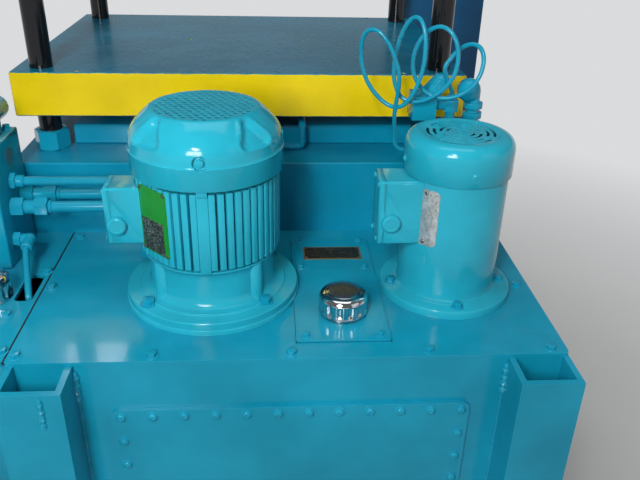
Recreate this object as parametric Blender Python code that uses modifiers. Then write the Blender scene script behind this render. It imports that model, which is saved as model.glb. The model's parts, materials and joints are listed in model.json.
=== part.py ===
"""Four-rod up-acting hydraulic press with its power unit at the back.

Units are metres and +Z is up. The origin lies on the floor under the middle of the four
strain rods. -Y is the rear, where the power unit stands, and +Y is the operator's side.
Left is -X and right is +X, as seen from the rear.
"""

import math

import bmesh
import bpy
from mathutils import Matrix, Vector

# Fits and cutting
TOUCH = 0.0003
RUN = 0.0006
OVERRUN = 0.004
WELD_SINK = 0.001
WELD_DISTANCE = 0.00001
EDGE = 0.002
SMOOTH_DEGREES = 32
FLAT_DEGREES = 0.05

# Sides of round pieces
TINY = 6
SMALL = 8
COARSE = 12
MEDIUM = 16
ROUND = 16
FINE = 32

# Strain rods and their nuts
ROD_FROM_SIDE = 0.0525
ROD_FROM_END = 0.0915
ROD_RADIUS = 0.0203
ROD_STUB = 0.014
ROD_CHAMFER = 0.003
COLLAR_RADIUS = 0.029
COLLAR_HEIGHT = 0.020
NUT_ACROSS_FLATS = 0.056
NUT_HEIGHT = 0.036
NUT_CHAMFER = 0.003

# Base plate, legs, bed and head
BED_WIDTH = 0.835
BED_DEPTH = 0.683
BED_THICKNESS = 0.150
BED_TOP = 1.039
BASE_THICKNESS = 0.030
LEG_FLANGE = 0.120
LEG_WALL = 0.012
DAYLIGHT = 0.600
HEAD_THICKNESS = 0.130
HEAD_EYE_RADIUS = 0.012
HEAD_EYE_DEPTH = 0.040
HEAD_EYE_SPAN_SHARE = 0.55

# Moving platen
PLATEN_SIDE_INSET = 0.0075
PLATEN_END_INSET = 0.0465
PLATEN_THICKNESS = 0.080
PLATEN_REST_HEIGHT = 0.073
STROKE = 0.400
TAPPED_RADIUS = 0.006
TAPPED_DEPTH = 0.025
TAPPED_ROW = 0.121
TAPPED_FROM_SIDE = 0.115
TAPPED_FROM_END = 0.014

# Cylinder and ram
BLOCK_FROM_RODS = 0.037
BLOCK_FROM_END = 0.1065
BLOCK_HEIGHT = 0.038
RAM_RADIUS = 0.100
PISTON_RADIUS = 0.1085
PISTON_HEIGHT = 0.060
RAM_OVERLAP = 0.120
BARREL_WALL = 0.030
BARREL_FLOOR = 0.040
PISTON_REST_GAP = 0.010
GLAND_RADIUS = 0.128
GLAND_LIP = 0.006
GLAND_FACE = 0.010
GLAND_DEPTH = 0.026
SPIGOT_RADIUS = 0.060
SPIGOT_DEPTH = 0.012
BARREL_PORT_RADIUS = 0.018
BARREL_PORT_REACH = 0.030

# Tank
TANK_LEFT = -0.3227
TANK_RIGHT = 0.484
TANK_DEPTH = 0.404
TANK_BOTTOM = 0.420
TANK_TOP = 0.900
TANK_WALL = 0.006
COVER_THICKNESS = 0.006
COVER_LIP = 0.003
COVER_CORNER = 0.008
RIM_WIDTH = 0.030

# Clean-out cover and its opening
CLEANOUT_WIDTH = 0.529
CLEANOUT_HEIGHT = 0.345
CLEANOUT_THICKNESS = 0.006
CLEANOUT_CENTRE_X = 0.081
CLEANOUT_TOP_DROP = 0.0854
CLEANOUT_BORDER = 0.035
CLEANOUT_CORNER = 0.010

# Channel legs welded to the back of the tank
CHANNEL_WIDTH = 0.090
CHANNEL_DEPTH = 0.064
CHANNEL_WALL = 0.009
CHANNEL_LEFT_OFFSET = 0.004
FOOT_THICKNESS = 0.012
FOOT_REACH = 0.020

# Access plate and filler
ACCESS_LEFT = 0.086
ACCESS_RIGHT = 0.227
ACCESS_FAR_SIDE = 0.3695
ACCESS_NEAR_SIDE = 0.0435
ACCESS_THICKNESS = 0.003
ACCESS_BORDER = 0.024
FILLER_X = 0.161
FILLER_BEHIND = 0.2925
NECK_RADIUS = 0.026
NECK_BORE = 0.0235
NECK_FLANGE_RADIUS = 0.0365
NECK_FLANGE_HEIGHT = 0.004
NECK_RISE = 0.018
NECK_DROP = 0.120
NECK_SLOT_WIDTH = 0.006
NECK_SLOT_COUNT = 4
CAP_RADIUS = 0.0384
CAP_HEIGHT = 0.040
CAP_WALL = 0.0022
CAP_RIM = 0.006
CAP_FLUTES = 16
CAP_FLUTE_DEPTH = 0.0012

# Side cabinet at the left of the tank
SIDE_LEFT = -0.620
SIDE_GAP = 0.0006
SIDE_WALL = 0.004
HOLE_LEFT = -0.360
HOLE_RIGHT = -0.331
HOLE_FAR_SIDE = 0.2435
HOLE_NEAR_SIDE = 0.1615
SIDE_CAN_X = -0.402
SIDE_CAN_BEHIND = 0.2285

# Valve manifold on the side cabinet
MANIFOLD_RIGHT = -0.392
MANIFOLD_LEFT = -0.520
MANIFOLD_FAR_SIDE = 0.1405
MANIFOLD_NEAR_SIDE = 0.0055
MANIFOLD_TOP = 1.110
VALVE_WIDTH = 0.046
VALVE_LENGTH = 0.072
VALVE_HEIGHT = 0.060
COIL_RADIUS = 0.021
COIL_LENGTH = 0.052
VALVE_SHIFT = 0.028

# Pipes of the manifold
PIPE_RADIUS = 0.010
PIPE_BEND = 0.030
PIPE_NUT_ACROSS = 0.030
PIPE_NUT_LENGTH = 0.022
PIPE_UNION_RADIUS = 0.0125
PIPE_UNION_LENGTH = 0.018
PIPE_END_NUT_LENGTH = 0.018
PIPE_Z = 0.996
PRESSURE_PIPE_BEHIND = 0.0392
PRESSURE_PIPE_END = -0.140
RETURN_PIPE_BEHIND = 0.0941
RETURN_PIPE_END = -0.165
CONDUIT_RADIUS = 0.008
CONDUIT_BEHIND = 0.0785
CONDUIT_Z = 1.037
CONDUIT_NUT_ACROSS = 0.026
CONDUIT_NUT_LENGTH = 0.010
DRAIN_RADIUS = 0.0055
DRAIN_NUT_ACROSS = 0.020
DRAIN_NUT_LENGTH = 0.012
DRAIN_BEHIND = 0.1105
DRAIN_Z = 0.943
DRAIN_BEND = 0.014
DRAIN_ELBOW_X = -0.366
DRAIN_END_X = -0.339
DRAIN_END_BEHIND = 0.2305
DRAIN_END_Z = 0.840
BED_PIPE_RADIUS = 0.007
BED_PIPE_BEND = 0.016
BED_PIPE_NUT_ACROSS = 0.021
BED_PIPE_NUT_LENGTH = 0.012
BED_PIPE_LEFT = -0.030
BED_PIPE_RIGHT = 0.110
BED_PIPE_BEHIND = 0.0245
BED_PIPE_FROM_BLOCK = 0.035
BED_PIPE_OVER_BLOCK = 0.045

# Main motor
MAIN_X = -0.045
MAIN_BEHIND = 0.210
MAIN_RING_RADIUS = 0.139
MAIN_RING_HEIGHT = 0.008
MAIN_FLANGE_RADIUS = 0.1375
MAIN_FLANGE_HEIGHT = 0.012
MAIN_SHIELD_RADIUS = 0.098
MAIN_SHIELD_FOOT = 0.006
MAIN_SHIELD_TOP = 0.088
MAIN_BOSS_RADIUS = 0.013
MAIN_BOSS_CIRCLE = 0.094
MAIN_BODY_RADIUS = 0.109
MAIN_FIN_HEIGHT = 0.012
MAIN_FIN_COUNT = 52
MAIN_FIN_SHARE = 0.58
MAIN_PAD_FINS = 1
MAIN_BODY_TOP = 0.230
MAIN_LUG_HALF_WIDTH = 0.008
MAIN_LUG_DROP = 0.006
MAIN_SKIRT_BOTTOM = 0.220
MAIN_COVER_RADIUS = 0.1147
MAIN_COVER_WALL = 0.0022
MAIN_GRILLE_RADIUS = 0.080
MAIN_GRILLE_TOP = 0.3105
MAIN_SKIRT_HEIGHT = 0.038
MAIN_DOME_SHARES = ((1.0, 0.0), (0.95, 0.30), (0.74, 0.55), (0.37, 0.80), (0.0, 1.0))
GRILLE_PITCH = 0.0145
GRILLE_HOLE_LENGTH = 0.0098
GRILLE_HOLE_WIDTH = 0.0056
GRILLE_MARGIN = 0.010
DIMPLE_COUNT = 4
DIMPLE_RADIUS = 0.020
DIMPLE_OUT = 0.010
DIMPLE_HEIGHT = 0.026

# Second motor
AUX_X = 0.339
AUX_BEHIND = 0.210
AUX_FLANGE_RADIUS = 0.107
AUX_FLANGE_HEIGHT = 0.014
AUX_BODY_RADIUS = 0.0800
AUX_BODY_FOOT = 0.003
AUX_BODY_TOP = 0.218
AUX_SKIRT_BOTTOM = 0.2106
AUX_COVER_RADIUS = 0.0840
AUX_COVER_WALL = 0.002
AUX_COVER_TOP = 0.271
AUX_SKIRT_HEIGHT = 0.036
AUX_CROWN_RADIUS = 0.056
AUX_CROWN_SHARES = ((1.0, 0.0), (0.95, 0.50), (0.72, 0.86), (0.0, 1.0))
AUX_SLOT_RADII = (0.0490, 0.0385, 0.0280)
AUX_SLOT_COUNTS = (6, 6, 4)
AUX_SLOT_WIDTH = 0.0042
AUX_SLOT_FILL_SHARE = 0.74
AUX_SLOT_STEPS = 3

# Shafts and fans
SHAFT_RADIUS = 0.014
SHAFT_BORE_CLEARANCE = 0.0006
SHAFT_BELOW = 0.055
FAN_HUB_RADIUS = 0.022
FAN_HUB_HEIGHT = 0.030
FAN_RISE = 0.010
FAN_BLADES = 7
FAN_BLADE_THICKNESS = 0.003
FAN_BLADE_HEIGHT = 0.026
FAN_TIP_CLEARANCE = 0.014
FAN_SINK = 0.003

# Terminal boxes
MAIN_BOX_LEFT = -0.196
MAIN_BOX_BACK = 0.0515
MAIN_BOX_FORWARD = 0.0035
MAIN_BOX_BOTTOM = 0.109
MAIN_BOX_TOP = 0.200
AUX_BOX_LEFT = 0.212
AUX_BOX_BACK = 0.0525
AUX_BOX_FORWARD = 0.0065
AUX_BOX_BOTTOM = 0.105
AUX_BOX_TOP = 0.2095
BOX_EDGE = 0.003
PLUG_RADIUS = 0.0145
PLUG_HEIGHT = 0.0045
PLUG_UP_SHARE = 0.36
PLUG_ACROSS_SHARE = 0.42

# Pumps under the cover
PUMP_WIDTH = 0.092
PUMP_DEPTH = 0.078
PUMP_HEIGHT = 0.110
PUMP_ADAPTOR_RADIUS = 0.048
PUMP_ADAPTOR_HEIGHT = 0.030
PUMP_SUCTION_RADIUS = 0.013
PUMP_SUCTION_DROP = 0.150
STRAINER_RADIUS = 0.032
STRAINER_HEIGHT = 0.060
AUX_PUMP_SCALE_SHARE = 0.78

# Pipework behind the second motor
RISER_X = 0.398
RISER_BEHIND = 0.0545
RISER_RADIUS = 0.0105
RISER_BALL_RADIUS = 0.0205
RISER_BALL_Z = 1.192
RISER_COLLAR_RADIUS = 0.0165
RISER_COLLAR_HEIGHT = 0.010
RISER_COLLAR_PITCH = 0.017
RISER_COLLARS = 3
RISER_NUT_ACROSS = 0.032
RISER_NUT_HEIGHT = 0.016
RELIEF_X = 0.359
RELIEF_NUT_ACROSS = 0.023
RELIEF_NUT_HEIGHT = 0.020
RELIEF_NUT_TOP = 1.176
RELIEF_BLOCK_WIDTH = 0.040
RELIEF_BLOCK_DEPTH = 0.050
RELIEF_BLOCK_HEIGHT = 0.040
RELIEF_BLOCK_X = 0.309
RELIEF_BLOCK_Z = 1.166
RELIEF_BONNET_RADIUS = 0.0165
RELIEF_BONNET_SHIFT = 0.030
RELIEF_BONNET_FORWARD = 0.011
RELIEF_BONNET_Z = 1.201
RELIEF_NIPPLE_RADIUS = 0.0085
SWITCH_X = 0.310
SWITCH_BEHIND = 0.0705
SWITCH_RADIUS = 0.019
SWITCH_BOTTOM = 1.040
SWITCH_TOP = 1.118
SWITCH_STEM_RADIUS = 0.008
SWITCH_NUT_ACROSS = 0.026
SWITCH_NUT_HEIGHT = 0.014

# Gauge tube, wound in four upright turns that lean like a fan
GAUGE_RADIUS = 0.0036
GAUGE_FIRST_X = 0.228
GAUGE_SPAN = 0.136
GAUGE_BEHIND = 0.0885
GAUGE_DEPTH = 0.036
GAUGE_Z = 1.239
GAUGE_TURN_HEIGHT = 0.144
GAUGE_LOW_END = 1.092
GAUGE_LEAD = 0.012
GAUGE_ACROSS_SHARES = (0.0, 0.34, 0.65, 1.0)
GAUGE_LIFT_SHARES = (-0.03, 0.04, 0.04, -0.05)
GAUGE_WIDTH_SHARES = (0.36, 0.28, 0.45, 0.32)
GAUGE_HEIGHT_SHARES = (0.90, 1.0, 0.80, 0.64)
GAUGE_LEAN_DEGREES = (-16, 6, 8, 25)
GAUGE_START_DEGREES = -20
GAUGE_END_DEGREES = 205
GAUGE_STEP_DEGREES = 27
GAUGE_LEAD_STEPS = 3

# Control cabinet on the operator's side
CABINET_LEFT = 0.395
CABINET_WIDTH = 0.218
CABINET_DEPTH = 0.180
CABINET_BOTTOM = 0.760
CABINET_HEIGHT = 0.690
CABINET_WALL = 0.004
CABINET_RIM = 0.014
BRACKET_LEFT = 0.250
BRACKET_THICKNESS = 0.010
BRACKET_BOTTOM = 0.905
BRACKET_TOP = 1.020
DOOR_THICKNESS = 0.012
DOOR_GAP = 0.001
DOOR_PAN = 0.003
HINGE_RADIUS = 0.006
HINGE_PIN_RADIUS = 0.003
HINGE_LENGTH = 0.060
HINGE_INSET = 0.110
HINGE_STAND_OFF = 0.003
HANDLE_INSET = 0.026
HANDLE_RADIUS = 0.012
HANDLE_RISE = 0.010
HANDLE_GRIP_LENGTH = 0.090
HANDLE_GRIP_WIDTH = 0.014
HANDLE_GRIP_HEIGHT = 0.010
HANDLE_SPINDLE_RADIUS = 0.005
HANDLE_TONGUE_LENGTH = 0.020
HANDLE_TONGUE_WIDTH = 0.012
HANDLE_TONGUE_HEIGHT = 0.004

# Places that follow from the sizes above
ROD_SPAN_X = BED_WIDTH - ROD_FROM_SIDE * 2
ROD_SPAN_Y = BED_DEPTH - ROD_FROM_END * 2
PLATEN_WIDTH = BED_WIDTH - PLATEN_SIDE_INSET * 2
PLATEN_DEPTH = BED_DEPTH - PLATEN_END_INSET * 2
BLOCK_WIDTH = ROD_SPAN_X - BLOCK_FROM_RODS * 2
BLOCK_DEPTH = BED_DEPTH - BLOCK_FROM_END * 2
BED_BOTTOM = BED_TOP - BED_THICKNESS
HEAD_BOTTOM = BED_TOP + DAYLIGHT
HEAD_TOP = HEAD_BOTTOM + HEAD_THICKNESS
PLATEN_BOTTOM = BED_TOP + PLATEN_REST_HEIGHT
PLATEN_TOP = PLATEN_BOTTOM + PLATEN_THICKNESS
BED_REAR = -BED_DEPTH / 2
BED_FRONT = BED_DEPTH / 2
TANK_FRONT = BED_REAR - TOUCH
TANK_REAR = BED_REAR - TANK_DEPTH
ACCESS_REAR = BED_REAR - ACCESS_FAR_SIDE
ACCESS_FRONT = BED_REAR - ACCESS_NEAR_SIDE
FILLER_Y = BED_REAR - FILLER_BEHIND
HOLE_REAR = BED_REAR - HOLE_FAR_SIDE
HOLE_FRONT = BED_REAR - HOLE_NEAR_SIDE
SIDE_CAN_Y = BED_REAR - SIDE_CAN_BEHIND
MANIFOLD_REAR = BED_REAR - MANIFOLD_FAR_SIDE
MANIFOLD_FRONT = BED_REAR - MANIFOLD_NEAR_SIDE
PRESSURE_PIPE_Y = BED_REAR - PRESSURE_PIPE_BEHIND
RETURN_PIPE_Y = BED_REAR - RETURN_PIPE_BEHIND
CONDUIT_Y = BED_REAR - CONDUIT_BEHIND
DRAIN_Y = BED_REAR - DRAIN_BEHIND
DRAIN_END_Y = BED_REAR - DRAIN_END_BEHIND
BED_PIPE_REAR = BED_REAR - BED_PIPE_BEHIND
BED_PIPE_Y = -BLOCK_DEPTH / 2 - BED_PIPE_FROM_BLOCK
BED_PIPE_END_Y = -BLOCK_DEPTH / 2 + BED_PIPE_OVER_BLOCK
MAIN_Y = BED_REAR - MAIN_BEHIND
AUX_Y = BED_REAR - AUX_BEHIND
MAIN_BOX_REAR = MAIN_Y - MAIN_BOX_BACK
MAIN_BOX_FRONT = MAIN_Y + MAIN_BOX_FORWARD
AUX_BOX_REAR = AUX_Y - AUX_BOX_BACK
AUX_BOX_FRONT = AUX_Y + AUX_BOX_FORWARD
RISER_Y = BED_REAR - RISER_BEHIND
RELIEF_BONNET_Y = RISER_Y + RELIEF_BONNET_FORWARD
SWITCH_Y = BED_REAR - SWITCH_BEHIND
GAUGE_Y = BED_REAR - GAUGE_BEHIND
COVER_BOTTOM = TANK_TOP - COVER_THICKNESS
ON_COVER = TANK_TOP + TOUCH
BLOCK_TOP = BED_TOP + TOUCH + BLOCK_HEIGHT
BORE_RADIUS = PISTON_RADIUS + RUN
BARREL_RADIUS = BORE_RADIUS + BARREL_WALL
PISTON_BOTTOM = BED_TOP - STROKE - RAM_OVERLAP - PISTON_HEIGHT
BARREL_BOTTOM = PISTON_BOTTOM - PISTON_REST_GAP - BARREL_FLOOR
SIDE_RIGHT = TANK_LEFT - SIDE_GAP
CABINET_REAR = BED_FRONT + TOUCH + BRACKET_THICKNESS - WELD_SINK
CABINET_FRONT = CABINET_REAR + CABINET_DEPTH
CABINET_RIGHT = CABINET_LEFT + CABINET_WIDTH

# Paints and metals: colour, roughness, metallic
PAINTS = {
    "turquoise_paint": ((0.013, 0.328, 0.497), 0.25, 0.0),
    "motor_paint": ((0.020, 0.381, 0.540), 0.22, 0.0),
    "bed_paint": ((0.012, 0.240, 0.376), 0.30, 0.0),
    "platen_paint": ((0.680, 0.527, 0.012), 0.30, 0.0),
    "cabinet_paint": ((0.006, 0.080, 0.185), 0.35, 0.0),
    "black_rod": ((0.010, 0.010, 0.011), 0.12, 0.6),
    "chrome": ((0.800, 0.800, 0.820), 0.08, 1.0),
    "ground_steel": ((0.420, 0.430, 0.440), 0.28, 1.0),
    "raw_iron": ((0.100, 0.100, 0.105), 0.60, 0.8),
    "black_plastic": ((0.020, 0.020, 0.022), 0.45, 0.0),
}

parts = None
cutters = None


def clear_scene():
    """Remove whatever the scene starts with."""
    for item in list(bpy.data.objects):
        bpy.data.objects.remove(item, do_unlink=True)


def new_collections():
    """Make one collection for the pieces and one for the cutters."""
    global parts, cutters
    parts = bpy.data.collections.new("hydraulic_press")
    cutters = bpy.data.collections.new("cutters")
    bpy.context.scene.collection.children.link(parts)
    bpy.context.scene.collection.children.link(cutters)


def paint(item, finish):
    """Give an object its own material in one of the named finishes."""
    colour, roughness, metallic = PAINTS[finish]
    material = bpy.data.materials.new(item.name + "_" + finish)
    material.use_nodes = True
    shader = material.node_tree.nodes["Principled BSDF"]
    shader.inputs["Base Color"].default_value = (*colour, 1.0)
    shader.inputs["Roughness"].default_value = roughness
    shader.inputs["Metallic"].default_value = metallic
    item.data.materials.clear()
    item.data.materials.append(material)
    return item


def place(mesh, name, at, collection=None):
    """Put a mesh in the scene as an object at a place."""
    item = bpy.data.objects.new(name, mesh)
    item.location = at
    (collection or parts).objects.link(item)
    return item


def as_cutter(item):
    """Hide a helper shape and keep it with the cutters."""
    for collection in list(item.users_collection):
        collection.objects.unlink(item)
    cutters.objects.link(item)
    item.hide_render = True
    item.display_type = "WIRE"
    return item


def boolean(target, tool, operation):
    """Cut or join a target with a tool shape."""
    as_cutter(tool)
    change = target.modifiers.new(tool.name, "BOOLEAN")
    change.operation = operation
    change.solver = "EXACT"
    change.object = tool
    return target


def cut(target, *tools):
    """Take the tools' volumes away from the target."""
    for tool in tools:
        boolean(target, tool, "DIFFERENCE")
    return target


def join(target, *tools):
    """Weld the tools' volumes to the target."""
    for tool in tools:
        boolean(target, tool, "UNION")
    return target


def block(name, low, high, edge=0.0):
    """Make a box between two corners, with its origin in the middle."""
    low = Vector(low)
    high = Vector(high)
    form = bmesh.new()
    bmesh.ops.create_cube(form, size=1.0)
    bmesh.ops.scale(form, vec=high - low, verts=form.verts)
    mesh = bpy.data.meshes.new(name)
    form.to_mesh(mesh)
    form.free()
    item = place(mesh, name, (low + high) / 2)
    if edge:
        round_edges(item, edge)
    return item


def round_edges(item, width, segments=1):
    """Break the sharp edges of an object."""
    bevel = item.modifiers.new("edges", "BEVEL")
    bevel.width = width
    bevel.segments = segments
    bevel.limit_method = "ANGLE"
    bevel.use_clamp_overlap = True
    return item


def rod(name, radius, start, end, sides=MEDIUM, end_radius=None):
    """Make a round bar, cone or prism from one point to another."""
    start = Vector(start)
    end = Vector(end)
    form = bmesh.new()
    bmesh.ops.create_cone(form, cap_ends=True, segments=sides, radius1=radius,
                          radius2=radius if end_radius is None else end_radius,
                          depth=(end - start).length)
    mesh = bpy.data.meshes.new(name)
    form.to_mesh(mesh)
    form.free()
    item = place(mesh, name, (start + end) / 2)
    item.rotation_euler = (end - start).to_track_quat("Z", "Y").to_euler()
    return item


def upright(name, radius, centre, bottom, top, sides=MEDIUM):
    """Make a vertical cylinder over a centre point."""
    return rod(name, radius, (centre[0], centre[1], bottom), (centre[0], centre[1], top), sides)


def hexagon(name, across, start, end, turn=0.0):
    """Make a hexagon bar with the given width across its flats."""
    item = rod(name, across / math.sqrt(3), start, end, 6)
    spin = Matrix.Rotation(turn, 4, "Z")
    item.data.transform(spin)
    return item


def ball(name, radius, centre, across, rings):
    """Make a sphere."""
    form = bmesh.new()
    bmesh.ops.create_uvsphere(form, u_segments=across, v_segments=rings, radius=radius)
    mesh = bpy.data.meshes.new(name)
    form.to_mesh(mesh)
    form.free()
    return place(mesh, name, centre)


def turned(name, profile, centre, sides=ROUND, closed=False):
    """Turn a profile of radius and height about a vertical axis.

    The profile runs down the outer side. A closed one goes on up the inner side.
    """
    count = len(profile)
    edges = [(index, index + 1) for index in range(count - 1)]
    if closed:
        edges.append((count - 1, 0))
    mesh = bpy.data.meshes.new(name)
    mesh.from_pydata([(radius, 0.0, height) for radius, height in profile], edges, [])
    item = place(mesh, name, (centre[0], centre[1], 0.0))
    screw = item.modifiers.new("turn", "SCREW")
    screw.axis = "Z"
    screw.angle = math.tau
    screw.steps = sides
    screw.render_steps = sides
    screw.use_merge_vertices = True
    screw.merge_threshold = WELD_DISTANCE
    return item


def settle(item):
    """Turn an object's evaluated form into its own mesh, welded and free of modifiers."""
    bpy.context.view_layer.update()
    graph = bpy.context.evaluated_depsgraph_get()
    mesh = bpy.data.meshes.new_from_object(item.evaluated_get(graph), depsgraph=graph)
    form = bmesh.new()
    form.from_mesh(mesh)
    bmesh.ops.remove_doubles(form, verts=form.verts, dist=WELD_DISTANCE)
    bmesh.ops.dissolve_limit(form, angle_limit=math.radians(FLAT_DEGREES), verts=form.verts,
                             edges=form.edges)
    form.to_mesh(mesh)
    form.free()
    name = item.name
    solid = bpy.data.objects.new(name, mesh)
    for collection in item.users_collection:
        collection.objects.link(solid)
    solid.matrix_world = item.matrix_world
    bpy.data.objects.remove(item, do_unlink=True)
    solid.name = name
    return solid


def plate(name, points, bottom, top):
    """Make a solid of one flat outline between two heights."""
    curve = bpy.data.curves.new(name, "CURVE")
    curve.dimensions = "2D"
    curve.fill_mode = "BOTH"
    curve.extrude = (top - bottom) / 2
    spline = curve.splines.new("POLY")
    spline.points.add(len(points) - 1)
    for point, (x, y) in zip(spline.points, points):
        point.co = (x, y, 0.0, 1.0)
    spline.use_cyclic_u = True
    item = place(curve, name, (0.0, 0.0, (top + bottom) / 2))
    return face_outwards(settle(item))


def face_outwards(item):
    """Turn all the faces of a closed mesh outwards."""
    form = bmesh.new()
    form.from_mesh(item.data)
    bmesh.ops.recalc_face_normals(form, faces=form.faces)
    form.to_mesh(item.data)
    form.free()
    return item


def arc(centre, radius, start, end, steps):
    """Give points along an arc, in degrees."""
    angles = [math.radians(start + (end - start) * step / steps) for step in range(steps + 1)]
    return [(centre[0] + radius * math.cos(angle), centre[1] + radius * math.sin(angle))
            for angle in angles]


def rounded(low, high, radius, steps=3):
    """Give the outline of a rectangle with round corners."""
    corners = ((high[0] - radius, high[1] - radius, 0), (low[0] + radius, high[1] - radius, 90),
               (low[0] + radius, low[1] + radius, 180), (high[0] - radius, low[1] + radius, 270))
    points = []
    for x, y, start in corners:
        points += arc((x, y), radius, start, start + 90, steps)
    return points


def pipe_route(corners, bend, steps=4):
    """Round the inner corners of a route of straight runs."""
    points = [Vector(corners[0])]
    for before, corner, after in zip(corners, corners[1:], corners[2:]):
        corner = Vector(corner)
        back = (Vector(before) - corner).normalized()
        ahead = (Vector(after) - corner).normalized()
        half = back.angle(ahead) / 2
        reach = bend / math.tan(half)
        centre = corner + (back + ahead).normalized() * (bend / math.sin(half))
        first = corner + back * reach - centre
        last = corner + ahead * reach - centre
        for step in range(steps + 1):
            points.append(centre + first.slerp(last, step / steps) * bend)
    points.append(Vector(corners[-1]))
    return points


def smooth_route(stations, steps):
    """Give a smooth curve through all the stations."""
    line = [Vector(station) for station in stations]
    line = [line[0] * 2 - line[1]] + line + [line[-1] * 2 - line[-2]]
    points = []
    for a, b, c, d in zip(line, line[1:], line[2:], line[3:]):
        for step in range(steps):
            t = step / steps
            points.append((b * 2 + (c - a) * t + (a * 2 - b * 5 + c * 4 - d) * t ** 2
                           + (b * 3 - a - c * 3 + d) * t ** 3) / 2)
    points.append(line[-2])
    return points


def tube(name, points, radius, fineness=2):
    """Make a solid round bar along a route and return it as a mesh."""
    curve = bpy.data.curves.new(name, "CURVE")
    curve.dimensions = "3D"
    curve.bevel_depth = radius
    curve.bevel_resolution = fineness
    curve.use_fill_caps = True
    spline = curve.splines.new("POLY")
    spline.points.add(len(points) - 1)
    for point, spot in zip(spline.points, points):
        point.co = (*spot, 1.0)
    return face_outwards(settle(place(curve, name, (0.0, 0.0, 0.0))))


def side_name(x, y):
    """Name a corner of the press by its place."""
    return ("front" if y > 0 else "rear") + "_" + ("right" if x > 0 else "left")


def rod_places():
    """Give the four strain rods' names and centres."""
    return [(side_name(x, y), (x * ROD_SPAN_X / 2, y * ROD_SPAN_Y / 2))
            for y in (1, -1) for x in (-1, 1)]


def rod_holes(name, bottom, top, clearance):
    """Give one cutter for each strain rod's hole."""
    return [upright(name + "_hole_" + corner, ROD_RADIUS + clearance, centre,
                    bottom - OVERRUN, top + OVERRUN, ROUND)
            for corner, centre in rod_places()]


def make_base_plate():
    """The thick plate that the legs stand on."""
    plate_item = block("base_plate", (-BED_WIDTH / 2, BED_REAR, 0.0),
                       (BED_WIDTH / 2, BED_FRONT, BASE_THICKNESS), EDGE)
    return paint(plate_item, "turquoise_paint")


def make_legs():
    """Four legs of heavy angle, with their corners outwards."""
    wide = BED_WIDTH / 2
    deep = BED_DEPTH / 2
    for corner, (x, y) in rod_places():
        out_x = math.copysign(1, x)
        out_y = math.copysign(1, y)
        outline = [(wide, deep), (wide - LEG_FLANGE, deep), (wide - LEG_FLANGE, deep - LEG_WALL),
                   (wide - LEG_WALL, deep - LEG_WALL), (wide - LEG_WALL, deep - LEG_FLANGE),
                   (wide, deep - LEG_FLANGE)]
        outline = [(px * out_x, py * out_y) for px, py in outline]
        leg = plate("leg_" + corner, outline, BASE_THICKNESS + TOUCH, BED_BOTTOM - TOUCH)
        paint(leg, "turquoise_paint")


def make_bed():
    """The lower bolster, bored for the cylinder and drilled for the rods."""
    bed = block("bed", (-BED_WIDTH / 2, BED_REAR, BED_BOTTOM), (BED_WIDTH / 2, BED_FRONT, BED_TOP), EDGE)
    cut(bed, *rod_holes("bed", BED_BOTTOM, BED_TOP, TOUCH))
    cut(bed, upright("bed_bore", BARREL_RADIUS + TOUCH, (0.0, 0.0), BED_BOTTOM - OVERRUN,
                     BED_TOP + OVERRUN, FINE))
    return paint(bed, "bed_paint")


def make_head():
    """The upper bolster, with threaded eyes for lifting it."""
    head = block("press_head", (-BED_WIDTH / 2, BED_REAR, HEAD_BOTTOM),
                 (BED_WIDTH / 2, BED_FRONT, HEAD_TOP), EDGE)
    cut(head, *rod_holes("head", HEAD_BOTTOM, HEAD_TOP, TOUCH))
    for side in (-1, 1):
        eye = upright("head_eye", HEAD_EYE_RADIUS, (side * BED_WIDTH / 2 * HEAD_EYE_SPAN_SHARE, 0.0),
                      HEAD_TOP - HEAD_EYE_DEPTH, HEAD_TOP + OVERRUN, COARSE)
        cut(head, eye)
    return paint(head, "turquoise_paint")


def make_rods():
    """Strain rods with a forged lower head and a collar under the press head."""
    low_head_top = BED_BOTTOM - TOUCH
    low_head_bottom = low_head_top - NUT_HEIGHT
    collar_top = HEAD_BOTTOM - TOUCH
    collar_bottom = collar_top - COLLAR_HEIGHT
    top = HEAD_TOP + TOUCH + NUT_HEIGHT + ROD_STUB
    profile = ((0.0, top), (ROD_RADIUS - ROD_CHAMFER, top), (ROD_RADIUS, top - ROD_CHAMFER),
               (ROD_RADIUS, collar_top), (COLLAR_RADIUS, collar_top), (COLLAR_RADIUS, collar_bottom),
               (ROD_RADIUS, collar_bottom), (ROD_RADIUS, low_head_bottom + NUT_CHAMFER),
               (0.0, low_head_bottom + NUT_CHAMFER))
    for corner, centre in rod_places():
        item = turned("strain_rod_" + corner, profile, centre, ROUND)
        low_head = hexagon("rod_head_" + corner, NUT_ACROSS_FLATS,
                           (centre[0], centre[1], low_head_bottom),
                           (centre[0], centre[1], low_head_top), math.pi / 2)
        paint(join(item, low_head), "black_rod")


def make_nut(name, centre, bottom):
    """A hexagon nut with its upper corners chamfered, bored for its rod."""
    corner_radius = NUT_ACROSS_FLATS / math.sqrt(3)
    top = bottom + NUT_HEIGHT
    nut = hexagon(name, NUT_ACROSS_FLATS, (centre[0], centre[1], bottom),
                  (centre[0], centre[1], top), math.pi / 2)
    profile = ((0.0, top), (corner_radius - NUT_CHAMFER, top),
               (corner_radius + NUT_CHAMFER, top - NUT_CHAMFER),
               (corner_radius + NUT_CHAMFER, bottom - NUT_CHAMFER), (0.0, bottom - NUT_CHAMFER))
    crown = turned(name + "_crown", profile, centre, ROUND)
    boolean(nut, crown, "INTERSECT")
    cut(nut, upright(name + "_bore", ROD_RADIUS + TOUCH, centre, bottom - OVERRUN, top + OVERRUN, ROUND))
    return paint(nut, "turquoise_paint")


def make_nuts():
    """The nuts on the bed and on the press head."""
    for corner, centre in rod_places():
        make_nut("bed_nut_" + corner, centre, BED_TOP + TOUCH)
        make_nut("head_nut_" + corner, centre, HEAD_TOP + TOUCH)


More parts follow.
